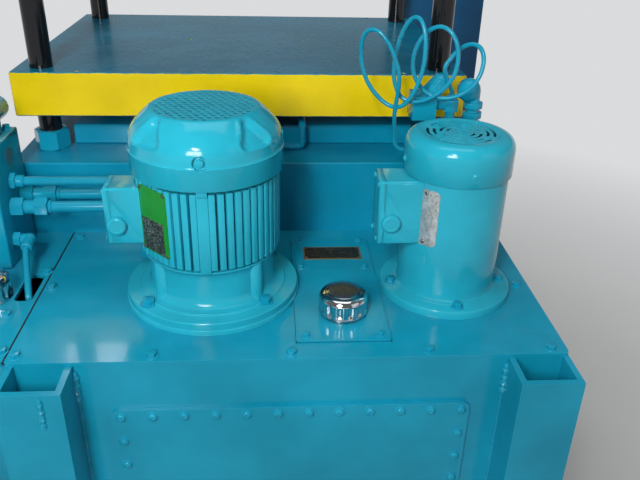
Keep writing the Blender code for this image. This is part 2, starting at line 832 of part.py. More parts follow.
def make_platen():
    """The moving platen, guided by the rods, with tapped holes in its top."""
    platen = block("platen", (-PLATEN_WIDTH / 2, -PLATEN_DEPTH / 2, PLATEN_BOTTOM),
                   (PLATEN_WIDTH / 2, PLATEN_DEPTH / 2, PLATEN_TOP), EDGE)
    cut(platen, *rod_holes("platen", PLATEN_BOTTOM, PLATEN_TOP, RUN))
    spots = [(-TAPPED_ROW, 0.0), (TAPPED_ROW, 0.0)]
    spots += [(x * (PLATEN_WIDTH / 2 - TAPPED_FROM_SIDE), y * (PLATEN_DEPTH / 2 - TAPPED_FROM_END)) for x in (-1, 1) for y in (-1, 1)]
    for x, y in spots:
        cut(platen, upright("tapped_hole", TAPPED_RADIUS, (x, y), PLATEN_TOP - TAPPED_DEPTH,
                            PLATEN_TOP + OVERRUN, SMALL))
    cut(platen, upright("spigot_seat", SPIGOT_RADIUS + TOUCH, (0.0, 0.0), PLATEN_BOTTOM - OVERRUN,
                        PLATEN_BOTTOM + SPIGOT_DEPTH + TOUCH, FINE))
    return paint(platen, "platen_paint")


def make_ram():
    """The ram with its piston below and the spigot that centres the platen."""
    shoulder = PLATEN_BOTTOM - TOUCH
    piston_top = PISTON_BOTTOM + PISTON_HEIGHT
    profile = ((0.0, shoulder + SPIGOT_DEPTH), (SPIGOT_RADIUS, shoulder + SPIGOT_DEPTH),
               (SPIGOT_RADIUS, shoulder), (RAM_RADIUS - EDGE, shoulder), (RAM_RADIUS, shoulder - EDGE),
               (RAM_RADIUS, piston_top), (PISTON_RADIUS, piston_top), (PISTON_RADIUS, PISTON_BOTTOM),
               (0.0, PISTON_BOTTOM))
    return paint(turned("ram", profile, (0.0, 0.0), FINE), "ground_steel")


def make_cylinder():
    """The cylinder's mounting block, its barrel and the gland ring."""
    bottom = BED_TOP + TOUCH
    head_block = block("cylinder_head_block", (-BLOCK_WIDTH / 2, -BLOCK_DEPTH / 2, bottom),
                       (BLOCK_WIDTH / 2, BLOCK_DEPTH / 2, BLOCK_TOP), EDGE)
    seat = BLOCK_TOP - GLAND_DEPTH
    cut(head_block, upright("gland_seat", GLAND_RADIUS + TOUCH, (0.0, 0.0), seat,
                            BLOCK_TOP + OVERRUN, FINE))
    cut(head_block, upright("block_bore", RAM_RADIUS + GLAND_LIP, (0.0, 0.0), bottom - OVERRUN,
                            BLOCK_TOP + OVERRUN, FINE))
    paint(head_block, "bed_paint")
    top = BED_TOP - TOUCH
    profile = ((BARREL_RADIUS, top), (BARREL_RADIUS, BARREL_BOTTOM + EDGE),
               (BARREL_RADIUS - EDGE, BARREL_BOTTOM), (0.0, BARREL_BOTTOM))
    inside = ((0.0, top + OVERRUN), (BORE_RADIUS, top + OVERRUN),
              (BORE_RADIUS, BARREL_BOTTOM + BARREL_FLOOR), (0.0, BARREL_BOTTOM + BARREL_FLOOR))
    barrel = turned("cylinder_barrel", ((0.0, top),) + profile, (0.0, 0.0), FINE)
    port_z = BARREL_BOTTOM + BARREL_FLOOR / 2
    port = rod("barrel_port", BARREL_PORT_RADIUS, (0.0, -BARREL_RADIUS - BARREL_PORT_REACH, port_z),
               (0.0, -BARREL_RADIUS / 2, port_z), MEDIUM)
    join(barrel, port)
    cut(barrel, turned("barrel_inside", inside, (0.0, 0.0), FINE))
    paint(barrel, "turquoise_paint")
    ring = ((GLAND_RADIUS - EDGE, BLOCK_TOP + GLAND_FACE), (GLAND_RADIUS, BLOCK_TOP + GLAND_FACE - EDGE),
            (GLAND_RADIUS, seat + TOUCH), (RAM_RADIUS + RUN, seat + TOUCH),
            (RAM_RADIUS + RUN, BLOCK_TOP + GLAND_FACE))
    paint(turned("gland_ring", ring, (0.0, 0.0), FINE, closed=True), "ground_steel")


def cleanout_frame():
    """Give the clean-out cover's low and high corners in X and Z."""
    top = TANK_TOP - CLEANOUT_TOP_DROP
    low = (CLEANOUT_CENTRE_X - CLEANOUT_WIDTH / 2, top - CLEANOUT_HEIGHT)
    high = (CLEANOUT_CENTRE_X + CLEANOUT_WIDTH / 2, top)
    return low, high


def standing_plate(name, points, rear, front):
    """Make a solid of one outline in X and Z between two depths."""
    item = plate(name, points, -front, -rear)
    item.data.transform(Matrix.Translation(item.location))
    item.location = (0.0, 0.0, 0.0)
    item.data.transform(Matrix.Rotation(math.pi / 2, 4, "X"))
    return item


def make_tank():
    """The open-topped tank, with a clean-out opening in its rear wall."""
    top = COVER_BOTTOM - TOUCH
    shell = block("tank_shell", (TANK_LEFT, TANK_REAR, TANK_BOTTOM), (TANK_RIGHT, TANK_FRONT, top))
    hollow = block("tank_hollow",
                   (TANK_LEFT + TANK_WALL, TANK_REAR + TANK_WALL, TANK_BOTTOM + TANK_WALL),
                   (TANK_RIGHT - TANK_WALL, TANK_FRONT - TANK_WALL, top - TANK_WALL))
    mouth = block("tank_mouth",
                  (TANK_LEFT + RIM_WIDTH, TANK_REAR + RIM_WIDTH, top - TANK_WALL - OVERRUN),
                  (TANK_RIGHT - RIM_WIDTH, TANK_FRONT - RIM_WIDTH, top + OVERRUN))
    low, high = cleanout_frame()
    window = block("cleanout_window",
                   (low[0] + CLEANOUT_BORDER, TANK_REAR - OVERRUN, low[1] + CLEANOUT_BORDER),
                   (high[0] - CLEANOUT_BORDER, TANK_REAR + TANK_WALL + OVERRUN, high[1] - CLEANOUT_BORDER))
    cut(shell, hollow, mouth, window)
    paint(shell, "turquoise_paint")
    cover = standing_plate("cleanout_cover", rounded(low, high, CLEANOUT_CORNER),
                           TANK_REAR - TOUCH - CLEANOUT_THICKNESS, TANK_REAR - TOUCH)
    paint(cover, "turquoise_paint")


def make_cover():
    """The tank's cover plate, with holes for the pumps, the access plate and the pipes."""
    low = (TANK_LEFT, TANK_REAR - COVER_LIP)
    high = (TANK_RIGHT, TANK_FRONT)
    cover = plate("tank_cover", rounded(low, high, COVER_CORNER), COVER_BOTTOM, TANK_TOP)
    holes = [((MAIN_X, MAIN_Y), PUMP_ADAPTOR_RADIUS + TOUCH, ROUND),
             ((AUX_X, AUX_Y), PUMP_ADAPTOR_RADIUS * AUX_PUMP_SCALE_SHARE + TOUCH, ROUND)]
    for index, (centre, radius, sides) in enumerate(holes):
        cut(cover, upright("cover_hole_" + str(index), radius, centre, COVER_BOTTOM - OVERRUN,
                           TANK_TOP + OVERRUN, sides))
    window = block("access_window",
                   (ACCESS_LEFT + ACCESS_BORDER, ACCESS_REAR + ACCESS_BORDER, COVER_BOTTOM - OVERRUN),
                   (ACCESS_RIGHT - ACCESS_BORDER, ACCESS_FRONT - ACCESS_BORDER, TANK_TOP + OVERRUN))
    cut(cover, window)
    paint(cover, "turquoise_paint")
    access = plate("access_plate", rounded((ACCESS_LEFT, ACCESS_REAR), (ACCESS_RIGHT, ACCESS_FRONT), EDGE),
                   ON_COVER, ON_COVER + ACCESS_THICKNESS)
    plate_top = ON_COVER + ACCESS_THICKNESS
    cut(access, upright("filler_hole", NECK_RADIUS + TOUCH, (FILLER_X, FILLER_Y), TANK_TOP - OVERRUN,
                        plate_top + OVERRUN, ROUND))
    cut(access, upright("motor_relief", MAIN_RING_RADIUS + RUN, (MAIN_X, MAIN_Y), TANK_TOP - OVERRUN,
                        plate_top + OVERRUN, FINE))
    paint(access, "turquoise_paint")


def make_channels():
    """Two channels welded by their toes to the tank's rear wall, standing on foot plates."""
    starts = {"channel_left": TANK_LEFT + CHANNEL_LEFT_OFFSET,
              "channel_right": TANK_RIGHT - CHANNEL_WIDTH}
    toe = TANK_REAR - TOUCH
    for name, left in starts.items():
        right = left + CHANNEL_WIDTH
        web = toe - CHANNEL_DEPTH
        outline = [(left, toe), (left, web), (right, web), (right, toe), (right - CHANNEL_WALL, toe),
                   (right - CHANNEL_WALL, web + CHANNEL_WALL), (left + CHANNEL_WALL, web + CHANNEL_WALL),
                   (left + CHANNEL_WALL, toe)]
        channel = plate(name, outline, FOOT_THICKNESS / 2, COVER_BOTTOM - TOUCH)
        foot = block(name + "_foot", (left - FOOT_REACH, web - FOOT_REACH, 0.0),
                     (right + FOOT_REACH, toe + FOOT_REACH, FOOT_THICKNESS))
        paint(join(channel, foot), "turquoise_paint")


def make_filler():
    """The filler neck with its slotted strainer below."""
    seat = ON_COVER + ACCESS_THICKNESS + TOUCH
    profile = ((NECK_RADIUS, seat + NECK_RISE), (NECK_RADIUS, seat + NECK_FLANGE_HEIGHT),
               (NECK_FLANGE_RADIUS, seat + NECK_FLANGE_HEIGHT), (NECK_FLANGE_RADIUS, seat),
               (NECK_RADIUS, seat), (NECK_RADIUS, seat - NECK_DROP), (NECK_BORE, seat - NECK_DROP),
               (NECK_BORE, seat + NECK_RISE))
    neck = turned("filler_neck", profile, (FILLER_X, FILLER_Y), MEDIUM, closed=True)
    slot_top = COVER_BOTTOM - NECK_SLOT_WIDTH
    slot_bottom = seat - NECK_DROP + NECK_SLOT_WIDTH
    for index in range(NECK_SLOT_COUNT // 2):
        slot = block("strainer_slot", (-NECK_RADIUS - OVERRUN, -NECK_SLOT_WIDTH / 2, slot_bottom),
                     (NECK_RADIUS + OVERRUN, NECK_SLOT_WIDTH / 2, slot_top))
        slot.location = (FILLER_X, FILLER_Y, (slot_top + slot_bottom) / 2)
        slot.rotation_euler = (0.0, 0.0, math.tau * index / NECK_SLOT_COUNT)
        cut(neck, slot)
    return paint(neck, "ground_steel")


def cap_shell(name, centre, seat, height):
    """A fluted cap: a cup with a crowned top and flutes round its side."""
    top = seat + height
    shoulder = top - CAP_RIM
    outer = ((0.0, top - CAP_RIM / 3), (CAP_RADIUS - CAP_RIM * 2, top - CAP_RIM / 3),
             (CAP_RADIUS - CAP_RIM, top), (CAP_RADIUS - CAP_RIM / 3, top - CAP_RIM / 3),
             (CAP_RADIUS, shoulder), (CAP_RADIUS, seat), (0.0, seat))
    cap = turned(name, outer, centre, FINE)
    for index in range(CAP_FLUTES):
        angle = math.tau * index / CAP_FLUTES
        reach = CAP_RADIUS + CAP_RIM / 2 - CAP_FLUTE_DEPTH
        spot = (centre[0] + reach * math.cos(angle), centre[1] + reach * math.sin(angle))
        cut(cap, upright(name + "_flute", CAP_RIM / 2, spot, seat + CAP_RIM, shoulder - CAP_RIM / 2,
                         TINY))
    return cap


def make_caps():
    """The breather cap on the filler and the like one on the side cabinet."""
    seat = ON_COVER + ACCESS_THICKNESS + TOUCH + NECK_FLANGE_HEIGHT + TOUCH
    cap = cap_shell("breather_cap", (FILLER_X, FILLER_Y), seat, CAP_HEIGHT - NECK_FLANGE_HEIGHT)
    inside = upright("cap_inside", CAP_RADIUS - CAP_WALL - CAP_FLUTE_DEPTH, (FILLER_X, FILLER_Y),
                     seat - OVERRUN, seat + CAP_HEIGHT - NECK_FLANGE_HEIGHT - CAP_RIM, ROUND)
    paint(cut(cap, inside), "chrome")
    side = cap_shell("side_breather", (SIDE_CAN_X, SIDE_CAN_Y), ON_COVER, CAP_HEIGHT)
    paint(side, "chrome")


def make_side_cabinet():
    """The cabinet beside the tank, open at the top under its own cover."""
    top = COVER_BOTTOM - TOUCH
    shell = block("side_cabinet", (SIDE_LEFT, TANK_REAR, TANK_BOTTOM), (SIDE_RIGHT, TANK_FRONT, top))
    hollow = block("side_hollow", (SIDE_LEFT + SIDE_WALL, TANK_REAR + SIDE_WALL, TANK_BOTTOM + SIDE_WALL),
                   (SIDE_RIGHT - SIDE_WALL, TANK_FRONT - SIDE_WALL, top + OVERRUN))
    paint(cut(shell, hollow), "turquoise_paint")
    low = (SIDE_LEFT, TANK_REAR - COVER_LIP)
    high = (SIDE_RIGHT, TANK_FRONT)
    cover = plate("side_cover", rounded(low, high, COVER_CORNER), COVER_BOTTOM, TANK_TOP)
    hole = plate("side_hole", rounded((HOLE_LEFT, HOLE_REAR), (HOLE_RIGHT, HOLE_FRONT), COVER_CORNER),
                 COVER_BOTTOM - OVERRUN, TANK_TOP + OVERRUN)
    paint(cut(cover, hole), "turquoise_paint")


def make_manifold():
    """The drilled manifold block and the solenoid valve bolted on its top."""
    manifold = block("manifold_block", (MANIFOLD_LEFT, MANIFOLD_REAR, ON_COVER),
                     (MANIFOLD_RIGHT, MANIFOLD_FRONT, MANIFOLD_TOP), EDGE)
    paint(manifold, "turquoise_paint")
    x = (MANIFOLD_LEFT + MANIFOLD_RIGHT) / 2 + VALVE_SHIFT
    y = (MANIFOLD_REAR + MANIFOLD_FRONT) / 2
    bottom = MANIFOLD_TOP + TOUCH
    body = block("directional_valve", (x - VALVE_WIDTH / 2, y - VALVE_LENGTH / 2, bottom),
                 (x + VALVE_WIDTH / 2, y + VALVE_LENGTH / 2, bottom + VALVE_HEIGHT), EDGE)
    middle = bottom + VALVE_HEIGHT / 2
    for side in (-1, 1):
        coil = rod("valve_coil", COIL_RADIUS, (x, y + side * VALVE_LENGTH / 4, middle),
                   (x, y + side * (VALVE_LENGTH / 2 + COIL_LENGTH), middle), MEDIUM)
        join(body, coil)
    return paint(body, "turquoise_paint")


def fitted_pipe(name, route, radius, nuts, finish):
    """A pipe with hexagon nuts fused on it where its fittings sit."""
    pipe = tube(name, route, radius)
    for index, (across, start, end) in enumerate(nuts):
        join(pipe, hexagon(name + "_nut_" + str(index), across, start, end))
    return paint(pipe, finish)


def make_manifold_pipes():
    """The two pipes from the manifold, which bend down into the tank behind the motor's box."""
    lines = (("pressure_pipe", PRESSURE_PIPE_Y, PRESSURE_PIPE_END),
             ("return_pipe", RETURN_PIPE_Y, RETURN_PIPE_END))
    z = PIPE_Z
    for name, y, end_x in lines:
        start = MANIFOLD_RIGHT + TOUCH
        route = pipe_route([(start, y, z), (end_x, y, z), (end_x, y, ON_COVER)], PIPE_BEND)
        first = start + PIPE_NUT_LENGTH
        second = first + PIPE_UNION_LENGTH
        nuts = [(PIPE_NUT_ACROSS, (start, y, z), (first, y, z)),
                (PIPE_NUT_ACROSS, (second, y, z), (second + PIPE_NUT_LENGTH, y, z)),
                (PIPE_NUT_ACROSS, (end_x, y, ON_COVER), (end_x, y, ON_COVER + PIPE_END_NUT_LENGTH))]
        pipe = tube(name, route, PIPE_RADIUS)
        join(pipe, rod(name + "_union", PIPE_UNION_RADIUS, (first - EDGE, y, z),
                       (second + EDGE, y, z)))
        for index, (across, low, high) in enumerate(nuts):
            join(pipe, hexagon(name + "_nut_" + str(index), across, low, high))
        paint(pipe, "turquoise_paint")


def make_conduit():
    """The wiring conduit from the manifold block to the main motor's terminal box."""
    end_x = (MAIN_BOX_LEFT + MAIN_X - MAIN_BODY_RADIUS) / 2
    start = (MANIFOLD_RIGHT + TOUCH, CONDUIT_Y, CONDUIT_Z)
    turn = (end_x, CONDUIT_Y, CONDUIT_Z)
    end = (end_x, MAIN_BOX_FRONT + TOUCH, CONDUIT_Z)
    route = pipe_route([start, turn, end], PIPE_BEND)
    nut_start = MAIN_BOX_FRONT + TOUCH
    nuts = [(CONDUIT_NUT_ACROSS, (end_x, nut_start, CONDUIT_Z),
             (end_x, nut_start + CONDUIT_NUT_LENGTH, CONDUIT_Z)),
            (CONDUIT_NUT_ACROSS, start, (start[0] + CONDUIT_NUT_LENGTH, CONDUIT_Y, CONDUIT_Z))]
    fitted_pipe("wiring_conduit", route, CONDUIT_RADIUS, nuts, "turquoise_paint")


def make_drain_tube():
    """The small tube that bends down through the side cover's hole."""
    start = MANIFOLD_RIGHT + TOUCH
    y = DRAIN_Y
    z = DRAIN_Z
    drop = (DRAIN_END_X, DRAIN_END_Y, TANK_TOP)
    route = pipe_route([(start, y, z), (DRAIN_ELBOW_X, y, z),
                        (DRAIN_ELBOW_X, y - DRAIN_BEND * 2, z - DRAIN_BEND / 2),
                        drop, (DRAIN_END_X, DRAIN_END_Y, DRAIN_END_Z)], DRAIN_BEND / 2)
    nuts = [(DRAIN_NUT_ACROSS, (start, y, z), (start + DRAIN_NUT_LENGTH, y, z))]
    fitted_pipe("drain_tube", route, DRAIN_RADIUS, nuts, "turquoise_paint")


def make_bed_pipe():
    """The pipe that rises from the tank, crosses the bed and turns in over the cylinder block."""
    on_bed = BED_TOP + TOUCH + BED_PIPE_RADIUS
    over_block = BLOCK_TOP + TOUCH + BED_PIPE_NUT_ACROSS / math.sqrt(3)
    corners = [(BED_PIPE_LEFT, BED_PIPE_REAR, ON_COVER), (BED_PIPE_LEFT, BED_PIPE_REAR, on_bed),
               (BED_PIPE_LEFT, BED_PIPE_Y, on_bed), (BED_PIPE_RIGHT, BED_PIPE_Y, on_bed),
               (BED_PIPE_RIGHT, BED_PIPE_Y, over_block), (BED_PIPE_RIGHT, BED_PIPE_END_Y, over_block)]
    route = pipe_route(corners, BED_PIPE_BEND / 2)
    nuts = [(BED_PIPE_NUT_ACROSS, corners[0],
             (BED_PIPE_LEFT, BED_PIPE_REAR, ON_COVER + BED_PIPE_NUT_LENGTH)),
            (BED_PIPE_NUT_ACROSS, (BED_PIPE_RIGHT, BED_PIPE_END_Y - BED_PIPE_NUT_LENGTH, over_block),
             corners[-1])]
    fitted_pipe("bed_pipe", route, BED_PIPE_RADIUS, nuts, "bed_paint")


def shaft_bore(name, centre, bottom, top):
    """Give the cutter for a motor shaft's hole."""
    return upright(name + "_shaft_bore", SHAFT_RADIUS + SHAFT_BORE_CLEARANCE, centre,
                   bottom - OVERRUN, top + OVERRUN, MEDIUM)


def make_main_flange():
    """The main motor's flange end, on its ring, with bolt bosses round the drum."""
    ring_bottom = ON_COVER
    flange_bottom = ring_bottom + MAIN_RING_HEIGHT
    flange_top = flange_bottom + MAIN_FLANGE_HEIGHT
    top = TANK_TOP + MAIN_SHIELD_TOP
    profile = ((0.0, top), (MAIN_SHIELD_RADIUS, top), (MAIN_SHIELD_RADIUS, flange_top + MAIN_SHIELD_FOOT),
               (MAIN_SHIELD_RADIUS + MAIN_SHIELD_FOOT, flange_top), (MAIN_FLANGE_RADIUS - EDGE, flange_top),
               (MAIN_FLANGE_RADIUS, flange_top - EDGE), (MAIN_FLANGE_RADIUS, flange_bottom),
               (MAIN_RING_RADIUS, flange_bottom), (MAIN_RING_RADIUS, ring_bottom), (0.0, ring_bottom))
    flange = turned("main_motor_flange", profile, (MAIN_X, MAIN_Y), FINE)
    for index in range(DIMPLE_COUNT):
        angle = math.tau * (index + 0.5) / DIMPLE_COUNT
        spot = (MAIN_X + MAIN_BOSS_CIRCLE * math.cos(angle), MAIN_Y + MAIN_BOSS_CIRCLE * math.sin(angle))
        join(flange, upright("flange_boss", MAIN_BOSS_RADIUS, spot, flange_top - EDGE, top - EDGE, SMALL))
    cut(flange, shaft_bore("main_flange", (MAIN_X, MAIN_Y), ring_bottom, top))
    return paint(flange, "motor_paint")


def fin_outline(centre, radius, height, count):
    """Give the outline of a finned barrel, with four flat-topped pads among the fins."""
    step = math.tau / count
    quarter = count // 4
    points = []
    for index in range(count):
        angle = step * index
        place_in_quarter = index % quarter
        in_pad = min(place_in_quarter, quarter - place_in_quarter) < MAIN_PAD_FINS
        half = step * (1.0 if in_pad else MAIN_FIN_SHARE) / 2
        corners = [(radius, -half), (radius, half)]
        if not in_pad:
            corners = [(radius - height, -half)] + corners + [(radius - height, half)]
        for reach, offset in corners:
            spot = angle + offset
            points.append((centre[0] + reach * math.cos(spot), centre[1] + reach * math.sin(spot)))
    return drop_twins(points)


def drop_twins(points):
    """Leave out the points of an outline that lie on the one before."""
    kept = []
    for point in points:
        if not kept or math.dist(point, kept[-1]) > WELD_DISTANCE:
            kept.append(point)
    if math.dist(kept[0], kept[-1]) <= WELD_DISTANCE:
        kept.pop()
    return kept


def make_main_frame():
    """The main motor's finned barrel."""
    bottom = TANK_TOP + MAIN_SHIELD_TOP + TOUCH
    top = TANK_TOP + MAIN_BODY_TOP
    outline = fin_outline((MAIN_X, MAIN_Y), MAIN_BODY_RADIUS, MAIN_FIN_HEIGHT, MAIN_FIN_COUNT)
    frame = plate("main_motor_frame", outline, bottom, top)
    inside = (MAIN_COVER_RADIUS - MAIN_COVER_WALL) * math.cos(math.pi / FINE) - TOUCH
    reach = math.sqrt(inside ** 2 - MAIN_LUG_HALF_WIDTH ** 2)
    lug_bottom = TANK_TOP + MAIN_SKIRT_BOTTOM - MAIN_LUG_DROP
    for turn in range(4):
        lug = block("cover_lug", (MAIN_BODY_RADIUS - MAIN_FIN_HEIGHT, -MAIN_LUG_HALF_WIDTH, lug_bottom),
                    (reach, MAIN_LUG_HALF_WIDTH, top))
        lug.data.transform(Matrix.Translation((lug.location[0], 0.0, 0.0)))
        lug.location = (MAIN_X, MAIN_Y, lug.location[2])
        lug.rotation_euler = (0.0, 0.0, math.pi / 2 * turn)
        join(frame, lug)
    cut(frame, shaft_bore("main_frame", (MAIN_X, MAIN_Y), bottom, top))
    return paint(frame, "motor_paint")


def dome_profile(radius, crown_radius, bottom, shoulder, top, shares, inset):
    """Give a dome's profile from its crown to its skirt, inset by a wall."""
    rise = top - shoulder
    points = [(0.0, top - inset)]
    for out_share, up_share in reversed(shares):
        out = crown_radius + (radius - crown_radius) * out_share
        points.append((out - inset, shoulder + rise * up_share - inset))
    points.append((radius - inset, bottom))
    points.append((0.0, bottom))
    return points


def dimple_tools(name, grow):
    """Give the balls that press the dimples into the main fan cover."""
    tools = []
    shoulder = TANK_TOP + MAIN_SKIRT_BOTTOM + MAIN_SKIRT_HEIGHT
    reach = MAIN_COVER_RADIUS + DIMPLE_OUT
    for index in range(DIMPLE_COUNT):
        angle = math.tau * (index + 0.5) / DIMPLE_COUNT
        centre = (MAIN_X + reach * math.cos(angle), MAIN_Y + reach * math.sin(angle),
                  shoulder + DIMPLE_HEIGHT)
        tools.append(ball(name, DIMPLE_RADIUS + grow, centre, SMALL, TINY))
    return tools


def grille_holes(name, centre, bottom, top):
    """Give one cutter with the staggered oblong holes of the grille."""
    form = bmesh.new()
    row_step = GRILLE_PITCH * math.sqrt(3) / 2
    reach = MAIN_GRILLE_RADIUS - GRILLE_MARGIN
    rows = int(reach / row_step)
    for row in range(-rows, rows + 1):
        shift = GRILLE_PITCH / 2 if row % 2 else 0.0
        columns = int(reach / GRILLE_PITCH) + 1
        for column in range(-columns, columns + 1):
            x = column * GRILLE_PITCH + shift
            y = row * row_step
            if math.hypot(x, y) > reach:
                continue
            made = bmesh.ops.create_cube(form, size=1.0)
            bmesh.ops.scale(form, vec=(GRILLE_HOLE_LENGTH, GRILLE_HOLE_WIDTH, top - bottom),
                            verts=made["verts"])
            bmesh.ops.translate(form, vec=(x, y, 0.0), verts=made["verts"])
    mesh = bpy.data.meshes.new(name)
    form.to_mesh(mesh)
    form.free()
    return place(mesh, name, (centre[0], centre[1], (top + bottom) / 2))


def make_main_fan_cover():
    """The main motor's domed fan cover, dimpled, with a grille in its crown."""
    bottom = TANK_TOP + MAIN_SKIRT_BOTTOM
    shoulder = bottom + MAIN_SKIRT_HEIGHT
    top = TANK_TOP + MAIN_GRILLE_TOP
    centre = (MAIN_X, MAIN_Y)
    outer = dome_profile(MAIN_COVER_RADIUS, MAIN_GRILLE_RADIUS, bottom, shoulder, top,
                         MAIN_DOME_SHARES, 0.0)
    inner = dome_profile(MAIN_COVER_RADIUS, MAIN_GRILLE_RADIUS, bottom - OVERRUN, shoulder, top,
                         MAIN_DOME_SHARES, MAIN_COVER_WALL)
    cover = turned("main_fan_cover", outer, centre, FINE)
    hollow = turned("main_cover_hollow", inner, centre, FINE)
    cut(cover, *dimple_tools("dimple", 0.0))
    cut(hollow, *dimple_tools("dimple_inside", MAIN_COVER_WALL))
    cut(cover, settle(hollow))
    cut(cover, grille_holes("grille_holes", centre, top - MAIN_COVER_WALL - OVERRUN, top + OVERRUN))
    return paint(cover, "motor_paint")


def make_aux_frame():
    """The second motor's smooth barrel on its flange."""
    flange_top = ON_COVER + AUX_FLANGE_HEIGHT
    top = TANK_TOP + AUX_BODY_TOP
    spigot = AUX_COVER_RADIUS - AUX_COVER_WALL - TOUCH
    seat = TANK_TOP + AUX_SKIRT_BOTTOM + EDGE
    profile = ((0.0, top), (spigot, top), (spigot, seat), (AUX_BODY_RADIUS, seat),
               (AUX_BODY_RADIUS, flange_top + AUX_BODY_FOOT), (AUX_BODY_RADIUS + AUX_BODY_FOOT, flange_top),
               (AUX_FLANGE_RADIUS - EDGE, flange_top), (AUX_FLANGE_RADIUS, flange_top - EDGE),
               (AUX_FLANGE_RADIUS, ON_COVER), (0.0, ON_COVER))
    frame = turned("aux_motor_frame", profile, (AUX_X, AUX_Y), FINE)
    cut(frame, shaft_bore("aux_frame", (AUX_X, AUX_Y), ON_COVER, top))
    return paint(frame, "motor_paint")


def slot_tool(name, centre, radius, angle, sweep, bottom, top):
    """Give the cutter for one curved slot."""
    start = math.degrees(angle) - sweep / 2
    outer = arc(centre, radius + AUX_SLOT_WIDTH / 2, start, start + sweep, AUX_SLOT_STEPS)
    inner = arc(centre, radius - AUX_SLOT_WIDTH / 2, start + sweep, start, AUX_SLOT_STEPS)
    return plate(name, outer + inner, bottom, top)


def make_aux_fan_cover():
    """The second motor's fan cover, with rings of curved slots in its crown."""
    bottom = TANK_TOP + AUX_SKIRT_BOTTOM
    shoulder = bottom + AUX_SKIRT_HEIGHT
    top = TANK_TOP + AUX_COVER_TOP
    centre = (AUX_X, AUX_Y)
    outer = dome_profile(AUX_COVER_RADIUS, AUX_CROWN_RADIUS, bottom, shoulder, top,
                         AUX_CROWN_SHARES, 0.0)
    inner = dome_profile(AUX_COVER_RADIUS, AUX_CROWN_RADIUS, bottom - OVERRUN, shoulder, top,
                         AUX_CROWN_SHARES, AUX_COVER_WALL)
    cover = turned("aux_fan_cover", outer, centre, FINE)
    cut(cover, turned("aux_cover_hollow", inner, centre, FINE))
    for radius, count in zip(AUX_SLOT_RADII, AUX_SLOT_COUNTS):
        for index in range(count):
            angle = math.tau * index / count
            cut(cover, slot_tool("aux_slot", centre, radius, angle, 360 / count * AUX_SLOT_FILL_SHARE,
                                 top - AUX_COVER_WALL - OVERRUN, top + OVERRUN))
    return paint(cover, "motor_paint")


def make_rotor(name, centre, body_top, cover_radius, finish):
    """A motor shaft with its cooling fan above and its pump end below."""
    fan_bottom = body_top + FAN_RISE
    hub_top = fan_bottom + FAN_HUB_HEIGHT
    bottom = COVER_BOTTOM - SHAFT_BELOW
    profile = ((0.0, hub_top), (FAN_HUB_RADIUS, hub_top), (FAN_HUB_RADIUS, fan_bottom),
               (SHAFT_RADIUS, fan_bottom), (SHAFT_RADIUS, bottom), (0.0, bottom))
    rotor = turned(name, profile, centre, MEDIUM)
    tip = cover_radius - FAN_TIP_CLEARANCE
    for index in range(FAN_BLADES):
        blade = block(name + "_blade", (FAN_HUB_RADIUS - FAN_SINK, -FAN_BLADE_THICKNESS / 2, 0.0),
                      (tip, FAN_BLADE_THICKNESS / 2, FAN_BLADE_HEIGHT))
        blade.data.transform(Matrix.Translation(blade.location))
        blade.location = (centre[0], centre[1], fan_bottom + FAN_SINK)
        blade.rotation_euler = (0.0, 0.0, math.tau * index / FAN_BLADES)
        join(rotor, blade)
    return paint(rotor, finish)


def terminal_box(name, low, high, centre, radius):
    """A terminal box that fits round its motor, with a round plug in its rear face."""
    box_item = block(name, low, high, BOX_EDGE)
    saddle = radius / math.cos(math.pi / FINE)
    cut(box_item, upright(name + "_saddle", saddle, centre, low[2] - OVERRUN, high[2] + OVERRUN, FINE))
    wide = centre[0] - radius - low[0]
    x = low[0] + wide * PLUG_ACROSS_SHARE
    z = low[2] + (high[2] - low[2]) * PLUG_UP_SHARE
    plug = rod(name + "_plug", PLUG_RADIUS, (x, low[1] + EDGE, z), (x, low[1] - PLUG_HEIGHT, z), MEDIUM)
    join(box_item, plug)
    return paint(box_item, "motor_paint")


def make_terminal_boxes():
    """The terminal boxes on the left sides of the two motors."""
    terminal_box("main_terminal_box", (MAIN_BOX_LEFT, MAIN_BOX_REAR, TANK_TOP + MAIN_BOX_BOTTOM),
                 (MAIN_X, MAIN_BOX_FRONT, TANK_TOP + MAIN_BOX_TOP),
                 (MAIN_X, MAIN_Y), MAIN_BODY_RADIUS + TOUCH)
    terminal_box("aux_terminal_box", (AUX_BOX_LEFT, AUX_BOX_REAR, TANK_TOP + AUX_BOX_BOTTOM),
                 (AUX_X, AUX_BOX_FRONT, TANK_TOP + AUX_BOX_TOP),
                 (AUX_X, AUX_Y), AUX_BODY_RADIUS + TOUCH)


